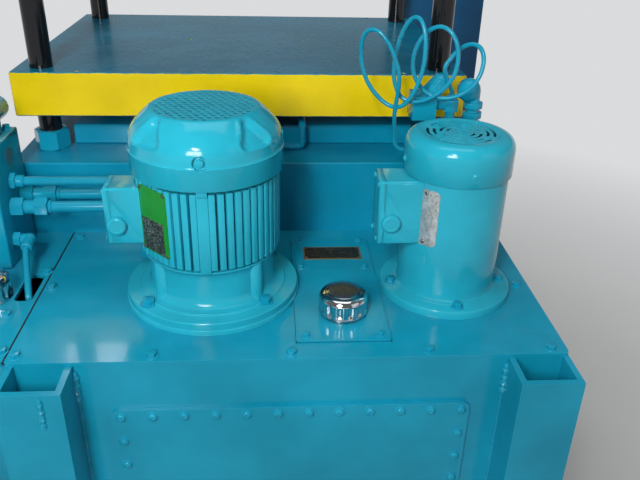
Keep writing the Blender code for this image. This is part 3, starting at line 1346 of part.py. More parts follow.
def make_pump(name, centre, share, finish):
    """A pump hung under the cover, with its suction pipe and strainer."""
    top = ON_COVER - TOUCH * 2
    adaptor_bottom = COVER_BOTTOM - PUMP_ADAPTOR_HEIGHT * share
    body_bottom = adaptor_bottom - PUMP_HEIGHT * share
    strainer_top = body_bottom - PUMP_SUCTION_DROP * share
    adaptor = upright(name, PUMP_ADAPTOR_RADIUS * share, centre, adaptor_bottom - EDGE, top, ROUND)
    wide = PUMP_WIDTH / 2 * share
    deep = PUMP_DEPTH / 2 * share
    body = block(name + "_body", (centre[0] - wide, centre[1] - deep, body_bottom),
                 (centre[0] + wide, centre[1] + deep, adaptor_bottom))
    pipe = upright(name + "_suction", PUMP_SUCTION_RADIUS * share, centre, strainer_top - EDGE,
                   body_bottom + EDGE, COARSE)
    strainer = upright(name + "_strainer", STRAINER_RADIUS * share, centre,
                       strainer_top - STRAINER_HEIGHT * share, strainer_top, MEDIUM)
    join(adaptor, body, pipe, strainer)
    bore_bottom = COVER_BOTTOM - SHAFT_BELOW - RUN
    cut(adaptor, upright(name + "_bore", SHAFT_RADIUS + SHAFT_BORE_CLEARANCE, centre, bore_bottom,
                         top + OVERRUN, MEDIUM))
    return paint(adaptor, finish)


def make_riser():
    """The riser behind the second motor, with ringed fittings and a ball elbow on top."""
    x = RISER_X
    y = RISER_Y
    riser = rod("riser_pipe", RISER_RADIUS, (x, y, ON_COVER), (x, y, RISER_BALL_Z), COARSE)
    join(riser, ball("riser_ball", RISER_BALL_RADIUS, (x - RISER_RADIUS, y, RISER_BALL_Z), MEDIUM, SMALL))
    for index in range(RISER_COLLARS):
        top = RISER_BALL_Z - RISER_BALL_RADIUS - RISER_COLLAR_PITCH * index
        join(riser, upright("riser_collar", RISER_COLLAR_RADIUS, (x, y), top - RISER_COLLAR_HEIGHT, top,
                            COARSE))
    join(riser, hexagon("riser_foot_nut", RISER_NUT_ACROSS, (x, y, ON_COVER),
                        (x, y, ON_COVER + RISER_NUT_HEIGHT)))
    return paint(riser, "turquoise_paint")


def make_relief_valve():
    """The relief valve: a block with a slanted domed bonnet, on the stub pipe that carries it."""
    x = RELIEF_X
    y = RISER_Y
    z = RELIEF_BLOCK_Z
    centre = Vector((RELIEF_BLOCK_X, y, z))
    half = Vector((RELIEF_BLOCK_WIDTH, RELIEF_BLOCK_DEPTH, RELIEF_BLOCK_HEIGHT)) / 2
    bonnet = (RELIEF_BLOCK_X + RELIEF_BONNET_SHIFT, RELIEF_BONNET_Y, RELIEF_BONNET_Z)
    body = block("relief_valve", centre - half, centre + half)
    join(body, rod("relief_nipple", RELIEF_NIPPLE_RADIUS, centre, (x, y, z), COARSE))
    join(body, rod("relief_bonnet", RELIEF_BONNET_RADIUS, (RELIEF_BLOCK_X, RELIEF_BONNET_Y, z), bonnet,
                   MEDIUM))
    join(body, ball("relief_dome", RELIEF_BONNET_RADIUS, bonnet, MEDIUM, SMALL))
    join(body, rod("relief_stub", RELIEF_NIPPLE_RADIUS, (x, y, ON_COVER), (x, y, z), COARSE))
    for top in (RELIEF_NUT_TOP, ON_COVER + RELIEF_NUT_HEIGHT):
        join(body, hexagon("relief_nut", RELIEF_NUT_ACROSS, (x, y, top - RELIEF_NUT_HEIGHT), (x, y, top)))
    return paint(body, "turquoise_paint")


def make_pressure_switch():
    """The pressure switch on its stem, which the gauge tube leaves."""
    x = SWITCH_X
    y = SWITCH_Y
    switch = upright("pressure_switch", SWITCH_STEM_RADIUS, (x, y), ON_COVER, SWITCH_BOTTOM + EDGE, COARSE)
    join(switch, upright("switch_body", SWITCH_RADIUS, (x, y), SWITCH_BOTTOM, SWITCH_TOP, MEDIUM))
    join(switch, hexagon("switch_nut", SWITCH_NUT_ACROSS, (x, y, ON_COVER),
                         (x, y, ON_COVER + SWITCH_NUT_HEIGHT)))
    return paint(switch, "turquoise_paint")


def gauge_turn(shares, index, blend):
    """Give a turn's share, blended towards the next turn's."""
    after = min(index + 1, len(shares) - 1)
    return shares[index] + (shares[after] - shares[index]) * blend


def gauge_point(degrees):
    """Give a point on the gauge tube's turns. The tube rises on the near side and falls on the far side."""
    last = len(GAUGE_ACROSS_SHARES) - 1
    index = min(max(int(degrees // 360), 0), last)
    degrees -= index * 360
    way = max(degrees - 180, 0) / 180 if index < last else 0
    blend = way * way * (3 - way * 2)
    angle = math.radians(degrees)
    lean = math.radians(gauge_turn(GAUGE_LEAN_DEGREES, index, blend))
    wide = GAUGE_TURN_HEIGHT / 2 * gauge_turn(GAUGE_WIDTH_SHARES, index, blend) * math.cos(angle)
    high = GAUGE_TURN_HEIGHT / 2 * gauge_turn(GAUGE_HEIGHT_SHARES, index, blend) * math.sin(angle)
    x = GAUGE_FIRST_X + GAUGE_SPAN * gauge_turn(GAUGE_ACROSS_SHARES, index, blend)
    z = GAUGE_Z + GAUGE_TURN_HEIGHT * gauge_turn(GAUGE_LIFT_SHARES, index, blend)
    return (x + wide * math.cos(lean) + high * math.sin(lean), GAUGE_Y - GAUGE_DEPTH / 2 * math.cos(angle),
            z - wide * math.sin(lean) + high * math.cos(lean))


def make_gauge_tube():
    """The thin tube wound in turns between the pressure switch and the relief valve."""
    start_x = SWITCH_X - SWITCH_RADIUS - RUN
    end_z = RELIEF_NUT_TOP + RUN
    stop = (len(GAUGE_ACROSS_SHARES) - 1) * 360 + GAUGE_END_DEGREES
    turns = [gauge_point(degrees) for degrees in range(GAUGE_START_DEGREES, stop + 1, GAUGE_STEP_DEGREES)]
    first = turns[0]
    rise_x = (start_x + first[0] - GAUGE_LEAD * 2) / 2
    rise = (rise_x, (SWITCH_Y + first[1]) / 2, (GAUGE_LOW_END + first[2]) / 2)
    start = [(start_x, SWITCH_Y, GAUGE_LOW_END)]
    low = smooth_route([(start_x - GAUGE_LEAD / 2, SWITCH_Y, GAUGE_LOW_END), rise, first],
                       GAUGE_LEAD_STEPS)
    high = smooth_route([turns[-1], (RELIEF_X, RISER_Y, end_z + GAUGE_LEAD)], GAUGE_LEAD_STEPS)
    end = [(RELIEF_X, RISER_Y, end_z)]
    route = start + low[:-1] + turns + high[1:] + end
    return paint(tube("gauge_tube", route, GAUGE_RADIUS), "turquoise_paint")


def make_cabinet():
    """The control cabinet, with the plate that bolts it to the bed and its hinge pins."""
    low = (CABINET_LEFT, CABINET_REAR, CABINET_BOTTOM)
    high = (CABINET_RIGHT, CABINET_FRONT, CABINET_BOTTOM + CABINET_HEIGHT)
    shell = block("control_cabinet", low, high)
    hollow = block("cabinet_hollow", (low[0] + CABINET_WALL, low[1] + CABINET_WALL, low[2] + CABINET_WALL),
                   (high[0] - CABINET_WALL, high[1] - CABINET_WALL, high[2] - CABINET_WALL))
    mouth = block("cabinet_mouth",
                  (low[0] + CABINET_RIM, high[1] - CABINET_WALL - OVERRUN, low[2] + CABINET_RIM),
                  (high[0] - CABINET_RIM, high[1] + OVERRUN, high[2] - CABINET_RIM))
    bracket = block("cabinet_bracket", (BRACKET_LEFT, BED_FRONT + TOUCH, BRACKET_BOTTOM),
                    (CABINET_RIGHT - CABINET_RIM, BED_FRONT + TOUCH + BRACKET_THICKNESS, BRACKET_TOP))
    join(shell, bracket)
    cut(shell, hollow, mouth)
    for x, y, bottom, top in hinge_spots():
        pin_bottom = bottom - HINGE_LENGTH / 3
        pin_top = top + HINGE_LENGTH / 3
        join(shell, upright("hinge_pin", HINGE_PIN_RADIUS, (x, y), pin_bottom, pin_top, COARSE))
        for start, end in ((pin_bottom, bottom - TOUCH), (top + TOUCH, pin_top)):
            join(shell, upright("hinge_knuckle", HINGE_RADIUS, (x, y), start, end, COARSE))
            join(shell, block("hinge_leaf", (high[0] - WELD_SINK, high[1] - HINGE_LENGTH / 2, start),
                              (x, high[1], end)))
            join(shell, block("hinge_arm", (x - HINGE_RADIUS / 2, high[1] - EDGE, start),
                              (x + HINGE_RADIUS / 2, y, end)))
    return paint(shell, "cabinet_paint")


def hinge_spots():
    """Give each hinge's axis and the bottom and top of the door's knuckle."""
    x = CABINET_RIGHT + HINGE_RADIUS + HINGE_STAND_OFF
    y = CABINET_FRONT + DOOR_GAP + DOOR_THICKNESS / 2
    spots = []
    for middle in (CABINET_BOTTOM + HINGE_INSET, CABINET_BOTTOM + CABINET_HEIGHT - HINGE_INSET):
        spots.append((x, y, middle - HINGE_LENGTH / 6, middle + HINGE_LENGTH / 6))
    return spots


def make_door():
    """The cabinet's door, a pan on two hinges, with a hole for the handle's spindle."""
    rear = CABINET_FRONT + DOOR_GAP
    front = rear + DOOR_THICKNESS
    bottom = CABINET_BOTTOM
    top = CABINET_BOTTOM + CABINET_HEIGHT
    door = block("cabinet_door", (CABINET_LEFT, rear, bottom), (CABINET_RIGHT, front, top))
    pan = block("door_pan", (CABINET_LEFT + DOOR_PAN, rear - OVERRUN, bottom + DOOR_PAN),
                (CABINET_RIGHT - DOOR_PAN, front - DOOR_PAN, top - DOOR_PAN))
    cut(door, pan)
    for x, y, low, high in hinge_spots():
        join(door, upright("door_knuckle", HINGE_RADIUS, (x, y), low, high, COARSE))
        join(door, block("door_leaf", (CABINET_RIGHT - DOOR_PAN / 2, y - HINGE_RADIUS / 2, low),
                         (x, y + HINGE_RADIUS / 2, high)))
        cut(door, upright("knuckle_bore", HINGE_PIN_RADIUS + RUN, (x, y), low - OVERRUN, high + OVERRUN,
                          COARSE))
    x, z = handle_spot()
    cut(door, rod("spindle_hole", HANDLE_SPINDLE_RADIUS + RUN, (x, rear - OVERRUN, z),
                  (x, front + OVERRUN, z), MEDIUM))
    x, y, low, high = hinge_spots()[0]
    stand_on(door, "door_axis", (x, y, bottom))
    return paint(door, "cabinet_paint")


def stand_on(item, name, at):
    """Give a piece an empty on its joint's axis as its parent."""
    axis = bpy.data.objects.new(name, None)
    axis.location = at
    parts.objects.link(axis)
    bpy.context.view_layer.update()
    item.parent = axis
    item.matrix_parent_inverse = axis.matrix_world.inverted()
    return axis


def handle_spot():
    """Give the place of the handle's spindle in the door."""
    return CABINET_LEFT + HANDLE_INSET, CABINET_BOTTOM + CABINET_HEIGHT / 2


def make_handle():
    """The quarter-turn handle with its spindle and the tongue behind the door."""
    x, z = handle_spot()
    front = CABINET_FRONT + DOOR_GAP + DOOR_THICKNESS
    rear = front - DOOR_PAN
    neck = front + HANDLE_RISE
    handle = rod("door_handle", HANDLE_RADIUS, (x, front + TOUCH, z), (x, neck, z), MEDIUM)
    grip = block("handle_grip", (x - HANDLE_GRIP_WIDTH / 2, neck - EDGE, z - HANDLE_GRIP_LENGTH * 3 / 4),
                 (x + HANDLE_GRIP_WIDTH / 2, neck + HANDLE_GRIP_HEIGHT, z + HANDLE_GRIP_LENGTH / 4), EDGE)
    spindle = rod("handle_spindle", HANDLE_SPINDLE_RADIUS, (x, rear - HANDLE_TONGUE_HEIGHT, z),
                  (x, front + HANDLE_RISE / 2, z), MEDIUM)
    wide = HANDLE_TONGUE_WIDTH / 2
    tongue = block("handle_tongue",
                   (x - wide, rear - HANDLE_TONGUE_HEIGHT - TOUCH, z - HANDLE_TONGUE_LENGTH),
                   (x + wide, rear - TOUCH, z + wide))
    join(handle, grip, spindle, tongue)
    stand_on(handle, "handle_axis", (x, front, z))
    return paint(handle, "black_plastic")


def finish_pieces():
    """Fix every piece's form, shaded smooth with its sharp edges kept, and clear the cutters."""
    for item in list(parts.objects):
        if item.type != "MESH":
            continue
        material = item.data.materials[0]
        parent = item.parent
        solid = settle(item)
        if parent:
            solid.parent = parent
            solid.matrix_parent_inverse = parent.matrix_world.inverted()
        solid.data.materials.clear()
        solid.data.materials.append(material)
        solid.data.shade_smooth()
        solid.data.set_sharp_from_angle(angle=math.radians(SMOOTH_DEGREES))
    for item in list(cutters.objects):
        bpy.data.objects.remove(item, do_unlink=True)


def main():
    """Build the whole press."""
    clear_scene()
    new_collections()
    make_base_plate()
    make_legs()
    make_bed()
    make_head()
    make_rods()
    make_nuts()
    make_platen()
    make_ram()
    make_cylinder()
    make_tank()
    make_cover()
    make_channels()
    make_filler()
    make_caps()
    make_side_cabinet()
    make_manifold()
    make_manifold_pipes()
    make_conduit()
    make_drain_tube()
    make_bed_pipe()
    make_main_flange()
    make_main_frame()
    make_main_fan_cover()
    make_aux_frame()
    make_aux_fan_cover()
    make_rotor("main_rotor", (MAIN_X, MAIN_Y), TANK_TOP + MAIN_BODY_TOP, MAIN_COVER_RADIUS, "raw_iron")
    make_rotor("aux_rotor", (AUX_X, AUX_Y), TANK_TOP + AUX_BODY_TOP, AUX_COVER_RADIUS, "raw_iron")
    make_terminal_boxes()
    make_pump("main_pump", (MAIN_X, MAIN_Y), 1.0, "raw_iron")
    make_pump("aux_pump", (AUX_X, AUX_Y), AUX_PUMP_SCALE_SHARE, "raw_iron")
    make_riser()
    make_relief_valve()
    make_pressure_switch()
    make_gauge_tube()
    make_cabinet()
    make_door()
    make_handle()
    finish_pieces()


main()
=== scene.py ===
"""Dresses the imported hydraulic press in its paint, castings, fittings and fasteners."""
import json
import math

import bpy
from mathutils import Matrix, Vector

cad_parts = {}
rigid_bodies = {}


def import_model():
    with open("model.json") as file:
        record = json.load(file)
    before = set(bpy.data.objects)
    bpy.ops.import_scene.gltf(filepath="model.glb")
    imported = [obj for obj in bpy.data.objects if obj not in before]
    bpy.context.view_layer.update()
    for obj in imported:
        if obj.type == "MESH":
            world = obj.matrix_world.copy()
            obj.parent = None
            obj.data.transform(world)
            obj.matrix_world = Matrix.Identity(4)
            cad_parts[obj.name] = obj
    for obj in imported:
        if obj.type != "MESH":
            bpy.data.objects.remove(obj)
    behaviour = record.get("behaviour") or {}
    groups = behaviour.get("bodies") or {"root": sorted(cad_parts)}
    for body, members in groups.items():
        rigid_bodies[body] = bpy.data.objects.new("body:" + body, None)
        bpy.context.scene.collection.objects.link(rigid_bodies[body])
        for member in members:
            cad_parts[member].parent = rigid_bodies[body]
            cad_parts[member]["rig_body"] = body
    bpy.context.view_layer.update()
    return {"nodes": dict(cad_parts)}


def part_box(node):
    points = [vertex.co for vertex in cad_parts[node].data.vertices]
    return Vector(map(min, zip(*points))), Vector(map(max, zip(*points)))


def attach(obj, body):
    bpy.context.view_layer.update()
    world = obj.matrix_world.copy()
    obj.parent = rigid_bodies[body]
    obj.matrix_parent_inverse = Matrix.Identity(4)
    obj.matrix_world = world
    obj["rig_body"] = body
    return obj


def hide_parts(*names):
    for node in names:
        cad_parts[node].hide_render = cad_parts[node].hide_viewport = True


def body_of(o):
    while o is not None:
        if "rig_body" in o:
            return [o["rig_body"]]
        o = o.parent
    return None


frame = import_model()

NODES = frame["nodes"]
FRAME_BODY = "press_frame"
UP = (0, 0, 1)
DOWN = (0, 0, -1)
BACK = (0, -1, 0)
ALONG_X = (1, 0, 0)
AGAINST_X = (-1, 0, 0)
ALONG_Y = (0, 1, 0)

# Heights and centres that the pieces share
COVER_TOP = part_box("tank_cover")[1][2]
BED_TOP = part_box("bed")[1][2]
MAIN_AXIS = (-0.045, -0.5515)
AUX_AXIS = (0.339, -0.5515)
FILLER = (0.161, -0.634)
SIDE_CAN = (-0.402, -0.570)
GAP = 0.0003

# Where the motors' plates face and sit, and how the second one lies on its barrel
PLATE_DEGREES = -135.5
PLATE_HEIGHT = 1.0570
PLATE_FACE = 0.1050
LABEL_DEGREES = -134.75
LABEL_HEIGHT = 1.0535
LABEL_RADIUS = 0.0802
LABEL_WIDE = 0.0440
LABEL_TALL = 0.0920
LABEL_CORNER = 0.0085
LABEL_THICK = 0.0006
LABEL_STRIPS = 12

# sRGB readings of the finishes
TURQUOISE = (0.040, 0.570, 0.690)
MOTOR_BLUE = (0.125, 0.640, 0.735)
BED_BLUE = (0.015, 0.545, 0.680)
CABINET_BLUE = (0.005, 0.320, 0.500)
YELLOW = (0.900, 0.790, 0.020)
UNDERCOAT = (0.42, 0.44, 0.45)
DUST_GREY = (0.62, 0.60, 0.56)


# Shader trees, and the groups that the finishes share


def linear(colour):
    """Give a colour for a shader from its sRGB reading."""
    return tuple(c / 12.92 if c <= 0.04045 else ((c + 0.055) / 1.055) ** 2.4 for c in colour)


def shaded(colour, share, lift=0.0):
    """Give a darker or lighter shade of a shader's colour."""
    return tuple(min(1.0, c * share + lift) for c in colour)


def new_group(name, takes, gives):
    """Start a node group with its named inputs and outputs."""
    group = bpy.data.node_groups.new(name, "ShaderNodeTree")
    for label, kind, value in takes:
        socket = group.interface.new_socket(name=label, in_out="INPUT", socket_type=kind)
        socket.default_value = value
    for label, kind in gives:
        group.interface.new_socket(name=label, in_out="OUTPUT", socket_type=kind)
    return group, group.nodes.new("NodeGroupInput"), group.nodes.new("NodeGroupOutput")


def add(tree, kind, **settings):
    """Add a node with its settings."""
    node = tree.nodes.new(kind)
    for key, value in settings.items():
        setattr(node, key, value)
    return node


def math_node(tree, operation, first, second, clamp=False):
    """Work out one value from two values or sockets."""
    node = add(tree, "ShaderNodeMath", operation=operation, use_clamp=clamp)
    for index, value in enumerate((first, second)):
        if isinstance(value, (int, float)):
            node.inputs[index].default_value = value
        else:
            tree.links.new(value, node.inputs[index])
    return node.outputs[0]


def times(tree, first, second, clamp=False):
    """Multiply two values or sockets."""
    return math_node(tree, "MULTIPLY", first, second, clamp)


def plus(tree, first, second, clamp=False):
    """Add two values or sockets."""
    return math_node(tree, "ADD", first, second, clamp)


def noise(tree, coords, scale, detail=3.0, rough=0.55):
    """Add a noise pattern and give its value."""
    node = add(tree, "ShaderNodeTexNoise")
    node.inputs["Scale"].default_value = scale
    node.inputs["Detail"].default_value = detail
    node.inputs["Roughness"].default_value = rough
    tree.links.new(coords, node.inputs["Vector"])
    return node.outputs["Fac"]


def span(tree, value, low, high, new_low=0.0, new_high=1.0):
    """Stretch a value's range, clamped."""
    node = add(tree, "ShaderNodeMapRange")
    tree.links.new(value, node.inputs["Value"])
    limits = {"From Min": low, "From Max": high, "To Min": new_low, "To Max": new_high}
    for label, number in limits.items():
        node.inputs[label].default_value = number
    return node.outputs["Result"]


def stretched(tree, coords, scale):
    """Stretch a pattern's place along its axes."""
    node = add(tree, "ShaderNodeMapping")
    node.inputs["Scale"].default_value = scale
    tree.links.new(coords, node.inputs["Vector"])
    return node.outputs["Vector"]


def height_of(tree, direction):
    """Give the upright part of a place or a direction."""
    parts = add(tree, "ShaderNodeSeparateXYZ")
    tree.links.new(direction, parts.inputs[0])
    return parts.outputs["Z"]


def build_orange_peel():
    """Brushed and sprayed enamel: fine peel, slow sags and a few specks of grit."""
    group, into, out = new_group(
        "orange_peel",
        (("Vector", "NodeSocketVector", (0, 0, 0)), ("Peel", "NodeSocketFloat", 0.5),
         ("Sag", "NodeSocketFloat", 0.5), ("Grit", "NodeSocketFloat", 0.2)),
        (("Height", "NodeSocketFloat"), ("Shade", "NodeSocketFloat")))
    where = into.outputs["Vector"]
    peel_share = 0.12
    fine = times(group, noise(group, where, scale=420.0, detail=2.0), into.outputs["Peel"])
    slow = times(group, noise(group, where, scale=34.0, detail=2.0), into.outputs["Sag"])
    cells = add(group, "ShaderNodeTexVoronoi", feature="F1")
    cells.inputs["Scale"].default_value = 150.0
    group.links.new(where, cells.inputs["Vector"])
    speck = span(group, cells.outputs["Distance"], low=0.10, high=0.0)
    rare = span(group, noise(group, where, scale=21.0, detail=1.0), low=0.60, high=0.66)
    grit = times(group, times(group, speck, rare), into.outputs["Grit"])
    height = plus(group, plus(group, times(group, fine, peel_share), slow), grit)
    group.links.new(height, out.inputs["Height"])
    group.links.new(noise(group, where, scale=5.5, detail=4.0), out.inputs["Shade"])
    return group


def build_settled_dust():
    """Dust that lies on what faces up, in drifts and specks."""
    group, into, out = new_group(
        "settled_dust",
        (("Vector", "NodeSocketVector", (0, 0, 0)), ("Amount", "NodeSocketFloat", 0.3)),
        (("Mask", "NodeSocketFloat"),))
    where = into.outputs["Vector"]
    drift_share = 0.55
    speck_share = 0.45
    normal = add(group, "ShaderNodeNewGeometry").outputs["Normal"]
    up = span(group, height_of(group, normal), low=0.55, high=1.0)
    drift = span(group, noise(group, where, scale=9.0, detail=5.0, rough=0.7), low=0.42, high=0.78)
    speck = span(group, noise(group, where, scale=310.0, detail=2.0), low=0.62, high=0.74)
    both = plus(group, times(group, drift, drift_share), times(group, speck, speck_share))
    mask = times(group, times(group, both, up), into.outputs["Amount"], clamp=True)
    group.links.new(mask, out.inputs["Mask"])
    return group


def build_edge_wear_and_glint():
    """Chips at the edges, and an edge mask that the enamel lightens as a painted highlight, both from the
    difference between the true and the rounded normal.
    """
    group, into, out = new_group(
        "edge_wear_and_glint",
        (("Vector", "NodeSocketVector", (0, 0, 0)), ("Width", "NodeSocketFloat", 0.002),
         ("Amount", "NodeSocketFloat", 0.3), ("Scale", "NodeSocketFloat", 120.0)),
        (("Mask", "NodeSocketFloat"), ("Glint", "NodeSocketFloat")))
    face = add(group, "ShaderNodeNewGeometry")
    soft = add(group, "ShaderNodeBevel", samples=4)
    group.links.new(into.outputs["Width"], soft.inputs["Radius"])
    dot = add(group, "ShaderNodeVectorMath", operation="DOT_PRODUCT")
    group.links.new(face.outputs["Normal"], dot.inputs[0])
    group.links.new(soft.outputs["Normal"], dot.inputs[1])
    edge = span(group, dot.outputs["Value"], low=0.995, high=0.80)
    grain = add(group, "ShaderNodeTexNoise")
    grain.inputs["Detail"].default_value = 4.0
    group.links.new(into.outputs["Vector"], grain.inputs["Vector"])
    group.links.new(into.outputs["Scale"], grain.inputs["Scale"])
    chips = span(group, grain.outputs["Fac"], low=0.56, high=0.62)
    worn = times(group, times(group, edge, chips), into.outputs["Amount"], clamp=True)
    group.links.new(worn, out.inputs["Mask"])
    group.links.new(edge, out.inputs["Glint"])
    return group


PEEL = build_orange_peel()
DUST = build_settled_dust()
WEAR_AND_GLINT = build_edge_wear_and_glint()


def start_finish(name):
    """Start a material: its tree, its shader and the place on the object."""
    material = bpy.data.materials.new(name)
    material.use_nodes = True
    tree = material.node_tree
    shader = tree.nodes["Principled BSDF"]
    coords = add(tree, "ShaderNodeTexCoord").outputs["Object"]
    return material, tree, shader, coords


def reopen_finish(material):
    """Give the tree, the shader and the place of a material that is changed further."""
    tree = material.node_tree
    coords = next(node for node in tree.nodes if node.type == "TEX_COORD").outputs["Object"]
    return tree, tree.nodes["Principled BSDF"], coords


def place_group(tree, group, coords, **values):
    """Place a shared group in a material with its own values."""
    node = add(tree, "ShaderNodeGroup", node_tree=group)
    tree.links.new(coords, node.inputs["Vector"])
    for key, value in values.items():
        node.inputs[key].default_value = value
    return node


def mix(tree, factor, first, second):
    """Mix two colours, each a socket or a plain colour."""
    node = add(tree, "ShaderNodeMix", data_type="RGBA")
    tree.links.new(factor, node.inputs[0])
    for index, value in ((6, first), (7, second)):
        if isinstance(value, tuple):
            node.inputs[index].default_value = (*value, 1.0)
        else:
            tree.links.new(value, node.inputs[index])
    return node.outputs[2]


def bump(tree, shader, height, strength, distance):
    """Feed a height to the shader's normal."""
    node = add(tree, "ShaderNodeBump")
    node.inputs["Strength"].default_value = strength
    node.inputs["Distance"].default_value = distance
    tree.links.new(height, node.inputs["Height"])
    tree.links.new(node.outputs["Normal"], shader.inputs["Normal"])


def enamel(name, colour, roughness=0.15, peel=0.35, sag=0.30, grit=0.20, dust=0.08, wear=0.12, coat=0.14):
    """Gloss enamel with its peel, edges lightened as a painted highlight, chips at the edges and a little
    dust.
    """
    material, tree, shader, coords = start_finish(name)
    skin = place_group(tree, PEEL, coords, Peel=peel, Sag=sag, Grit=grit)
    fallen = place_group(tree, DUST, coords, Amount=dust)
    chips_and_glint = place_group(tree, WEAR_AND_GLINT, coords, Width=0.0016, Amount=wear, Scale=160.0)
    base = linear(colour)
    edge_glint_share = 0.34
    dust_dulls = 0.5
    clouds = span(tree, skin.outputs["Shade"], low=0.35, high=0.65)
    body = mix(tree, clouds, shaded(base, 0.86), shaded(base, 1.12, lift=0.004))
    # Painted highlight: the edges are lightened so that they glint.
    body = mix(tree, times(tree, chips_and_glint.outputs["Glint"], edge_glint_share), body, shaded(base, 1.5, lift=0.03))
    body = mix(tree, chips_and_glint.outputs["Mask"], body, linear(UNDERCOAT))
    body = mix(tree, fallen.outputs["Mask"], body, linear(DUST_GREY))
    tree.links.new(body, shader.inputs["Base Color"])
    smear = span(tree, noise(tree, coords, scale=14.0, detail=5.0, rough=0.7), low=0.3, high=0.75,
                 new_low=roughness * 0.82, new_high=roughness * 1.35)
    rough = plus(tree, smear, times(tree, fallen.outputs["Mask"], dust_dulls), clamp=True)
    tree.links.new(rough, shader.inputs["Roughness"])
    shader.inputs["Specular IOR Level"].default_value = 0.24
    shader.inputs["Coat Weight"].default_value = coat
    shader.inputs["Coat Roughness"].default_value = 0.04
    bump(tree, shader, skin.outputs["Height"], strength=0.35, distance=0.0006)
    return material


def metal(name, colour, roughness, brush=(1.0, 1.0, 1.0), marks=0.3, stain=0.2,
          stain_colour=(0.25, 0.22, 0.19), metallic=1.0, depth=0.00015):
    """Bare metal with its tool marks, small scratches and stains."""
    material, tree, shader, coords = start_finish(name)
    lines = noise(tree, stretched(tree, coords, brush), scale=300.0, detail=4.0, rough=0.65)
    blotch = span(tree, noise(tree, coords, scale=26.0, detail=5.0, rough=0.7), low=0.45, high=0.75)
    base = linear(colour)
    stain_dulls = 0.5
    body = mix(tree, span(tree, lines, low=0.3, high=0.7), shaded(base, 0.88), shaded(base, 1.08))
    body = mix(tree, times(tree, blotch, stain), body, linear(stain_colour))
    tree.links.new(body, shader.inputs["Base Color"])
    brushed = span(tree, lines, low=0.3, high=0.7, new_low=roughness * 0.8, new_high=roughness * 1.25)
    rough = plus(tree, brushed, times(tree, blotch, stain * stain_dulls), clamp=True)
    tree.links.new(rough, shader.inputs["Roughness"])
    shader.inputs["Metallic"].default_value = metallic
    bump(tree, shader, lines, marks, depth)
    return material


def platen_finish():
    """The platen's sides in yellow and its top and bottom in the bed's blue darkened as painted shade, with
    the brushed edge between them.
    """
    material = enamel("platen_enamel", YELLOW, roughness=0.26, wear=0.35, dust=0.05, grit=0.35)
    tree, shader, coords = reopen_finish(material)
    low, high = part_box("platen")
    edge = 0.0015
    waver = 0.0006
    scuff_share = 0.45
    brushed = span(tree, noise(tree, coords, scale=40.0), low=0.3, high=0.7, new_low=-waver, new_high=waver)
    height = plus(tree, height_of(tree, coords), brushed)
    top = math_node(tree, "GREATER_THAN", height, high[2] - edge)
    bottom = math_node(tree, "LESS_THAN", height, low[2] + edge)
    flat = math_node(tree, "MAXIMUM", top, bottom)
    yellow = shader.inputs["Base Color"].links[0].from_socket
    # Painted shade: the top and bottom are the bed's own paint, darkened.
    blue_darkened_as_shade = shaded(linear(BED_BLUE), 0.72)
    clouds = span(tree, noise(tree, coords, scale=4.0, detail=4.0), low=0.35, high=0.65)
    blue = mix(tree, clouds, shaded(blue_darkened_as_shade, 0.88), shaded(blue_darkened_as_shade, 1.12))
    dust = place_group(tree, DUST, coords, Amount=0.07)
    blue = mix(tree, dust.outputs["Mask"], blue, linear(DUST_GREY))
    scuff = noise(tree, stretched(tree, coords, (1.0, 1.0, 9.0)), scale=17.0, detail=6.0, rough=0.75)
    streak = times(tree, span(tree, scuff, low=0.66, high=0.74), scuff_share)
    yellow = mix(tree, streak, yellow, linear((0.45, 0.36, 0.10)))
    tree.links.new(mix(tree, flat, yellow, blue), shader.inputs["Base Color"])
    return material


def bare_plate(name, colour, metallic, rim_colour):
    """A plate with nothing printed on it: rolled grain, small scratches and dull corners."""
    return metal(name, colour, roughness=0.36, brush=(0.08, 1.0, 0.08), marks=0.2, stain=0.35,
                 stain_colour=rim_colour,
                 metallic=metallic)


def etched_plate(name, dark, bright, share):
    """A plate whose face is etched all over into fine dark and bright grains, with nothing written on it."""
    material, tree, shader, coords = start_finish(name)
    soft = 0.05
    grain = span(tree, noise(tree, coords, scale=330.0, rough=0.6), low=share - soft, high=share + soft)
    clouds = noise(tree, coords, scale=45.0, detail=4.0, rough=0.6)
    cloud = span(tree, clouds, low=0.35, high=0.65, new_low=0.35)
    face = mix(tree, times(tree, grain, cloud), linear(dark), linear(bright))
    tree.links.new(face, shader.inputs["Base Color"])
    polish = span(tree, grain, low=0.0, high=1.0, new_low=0.42, new_high=0.26)
    tree.links.new(polish, shader.inputs["Roughness"])
    shader.inputs["Metallic"].default_value = 0.6
    bump(tree, shader, grain, strength=0.25, distance=0.0001)
    return material


def chrome_finish():
    """Chrome plate, bright on the sides and stamped with a fine dull grain on the flat top, whose darker
    bluish grey is a painted dark reflection that also cancels the yellow it would mirror.
    """
    material = metal("chrome_plate", (0.80, 0.81, 0.82), roughness=0.06, marks=0.05, stain=0.05,
                     stain_colour=(0.5, 0.5, 0.5))
    tree, shader, coords = reopen_finish(material)
    top_dulls = 0.30
    up = height_of(tree, add(tree, "ShaderNodeNewGeometry").outputs["Normal"])
    flat = span(tree, up, low=0.965, high=0.985)
    clear = shader.inputs["Roughness"].links[0].from_socket
    tree.links.new(plus(tree, clear, times(tree, flat, top_dulls), clamp=True), shader.inputs["Roughness"])
    bright = shader.inputs["Base Color"].links[0].from_socket
    grain = span(tree, noise(tree, coords, scale=420.0, detail=2.0, rough=0.5), low=0.35, high=0.65)
    # Partly real grain, partly painted reflection: the flat top is a darker bluish grey to stand for the dark
    # reflection it shows.
    grain_and_painted_dark_reflection = mix(tree, grain, linear((0.38, 0.40, 0.46)), linear((0.50, 0.52, 0.58)))
    tree.links.new(mix(tree, flat, bright, grain_and_painted_dark_reflection), shader.inputs["Base Color"])
    return material


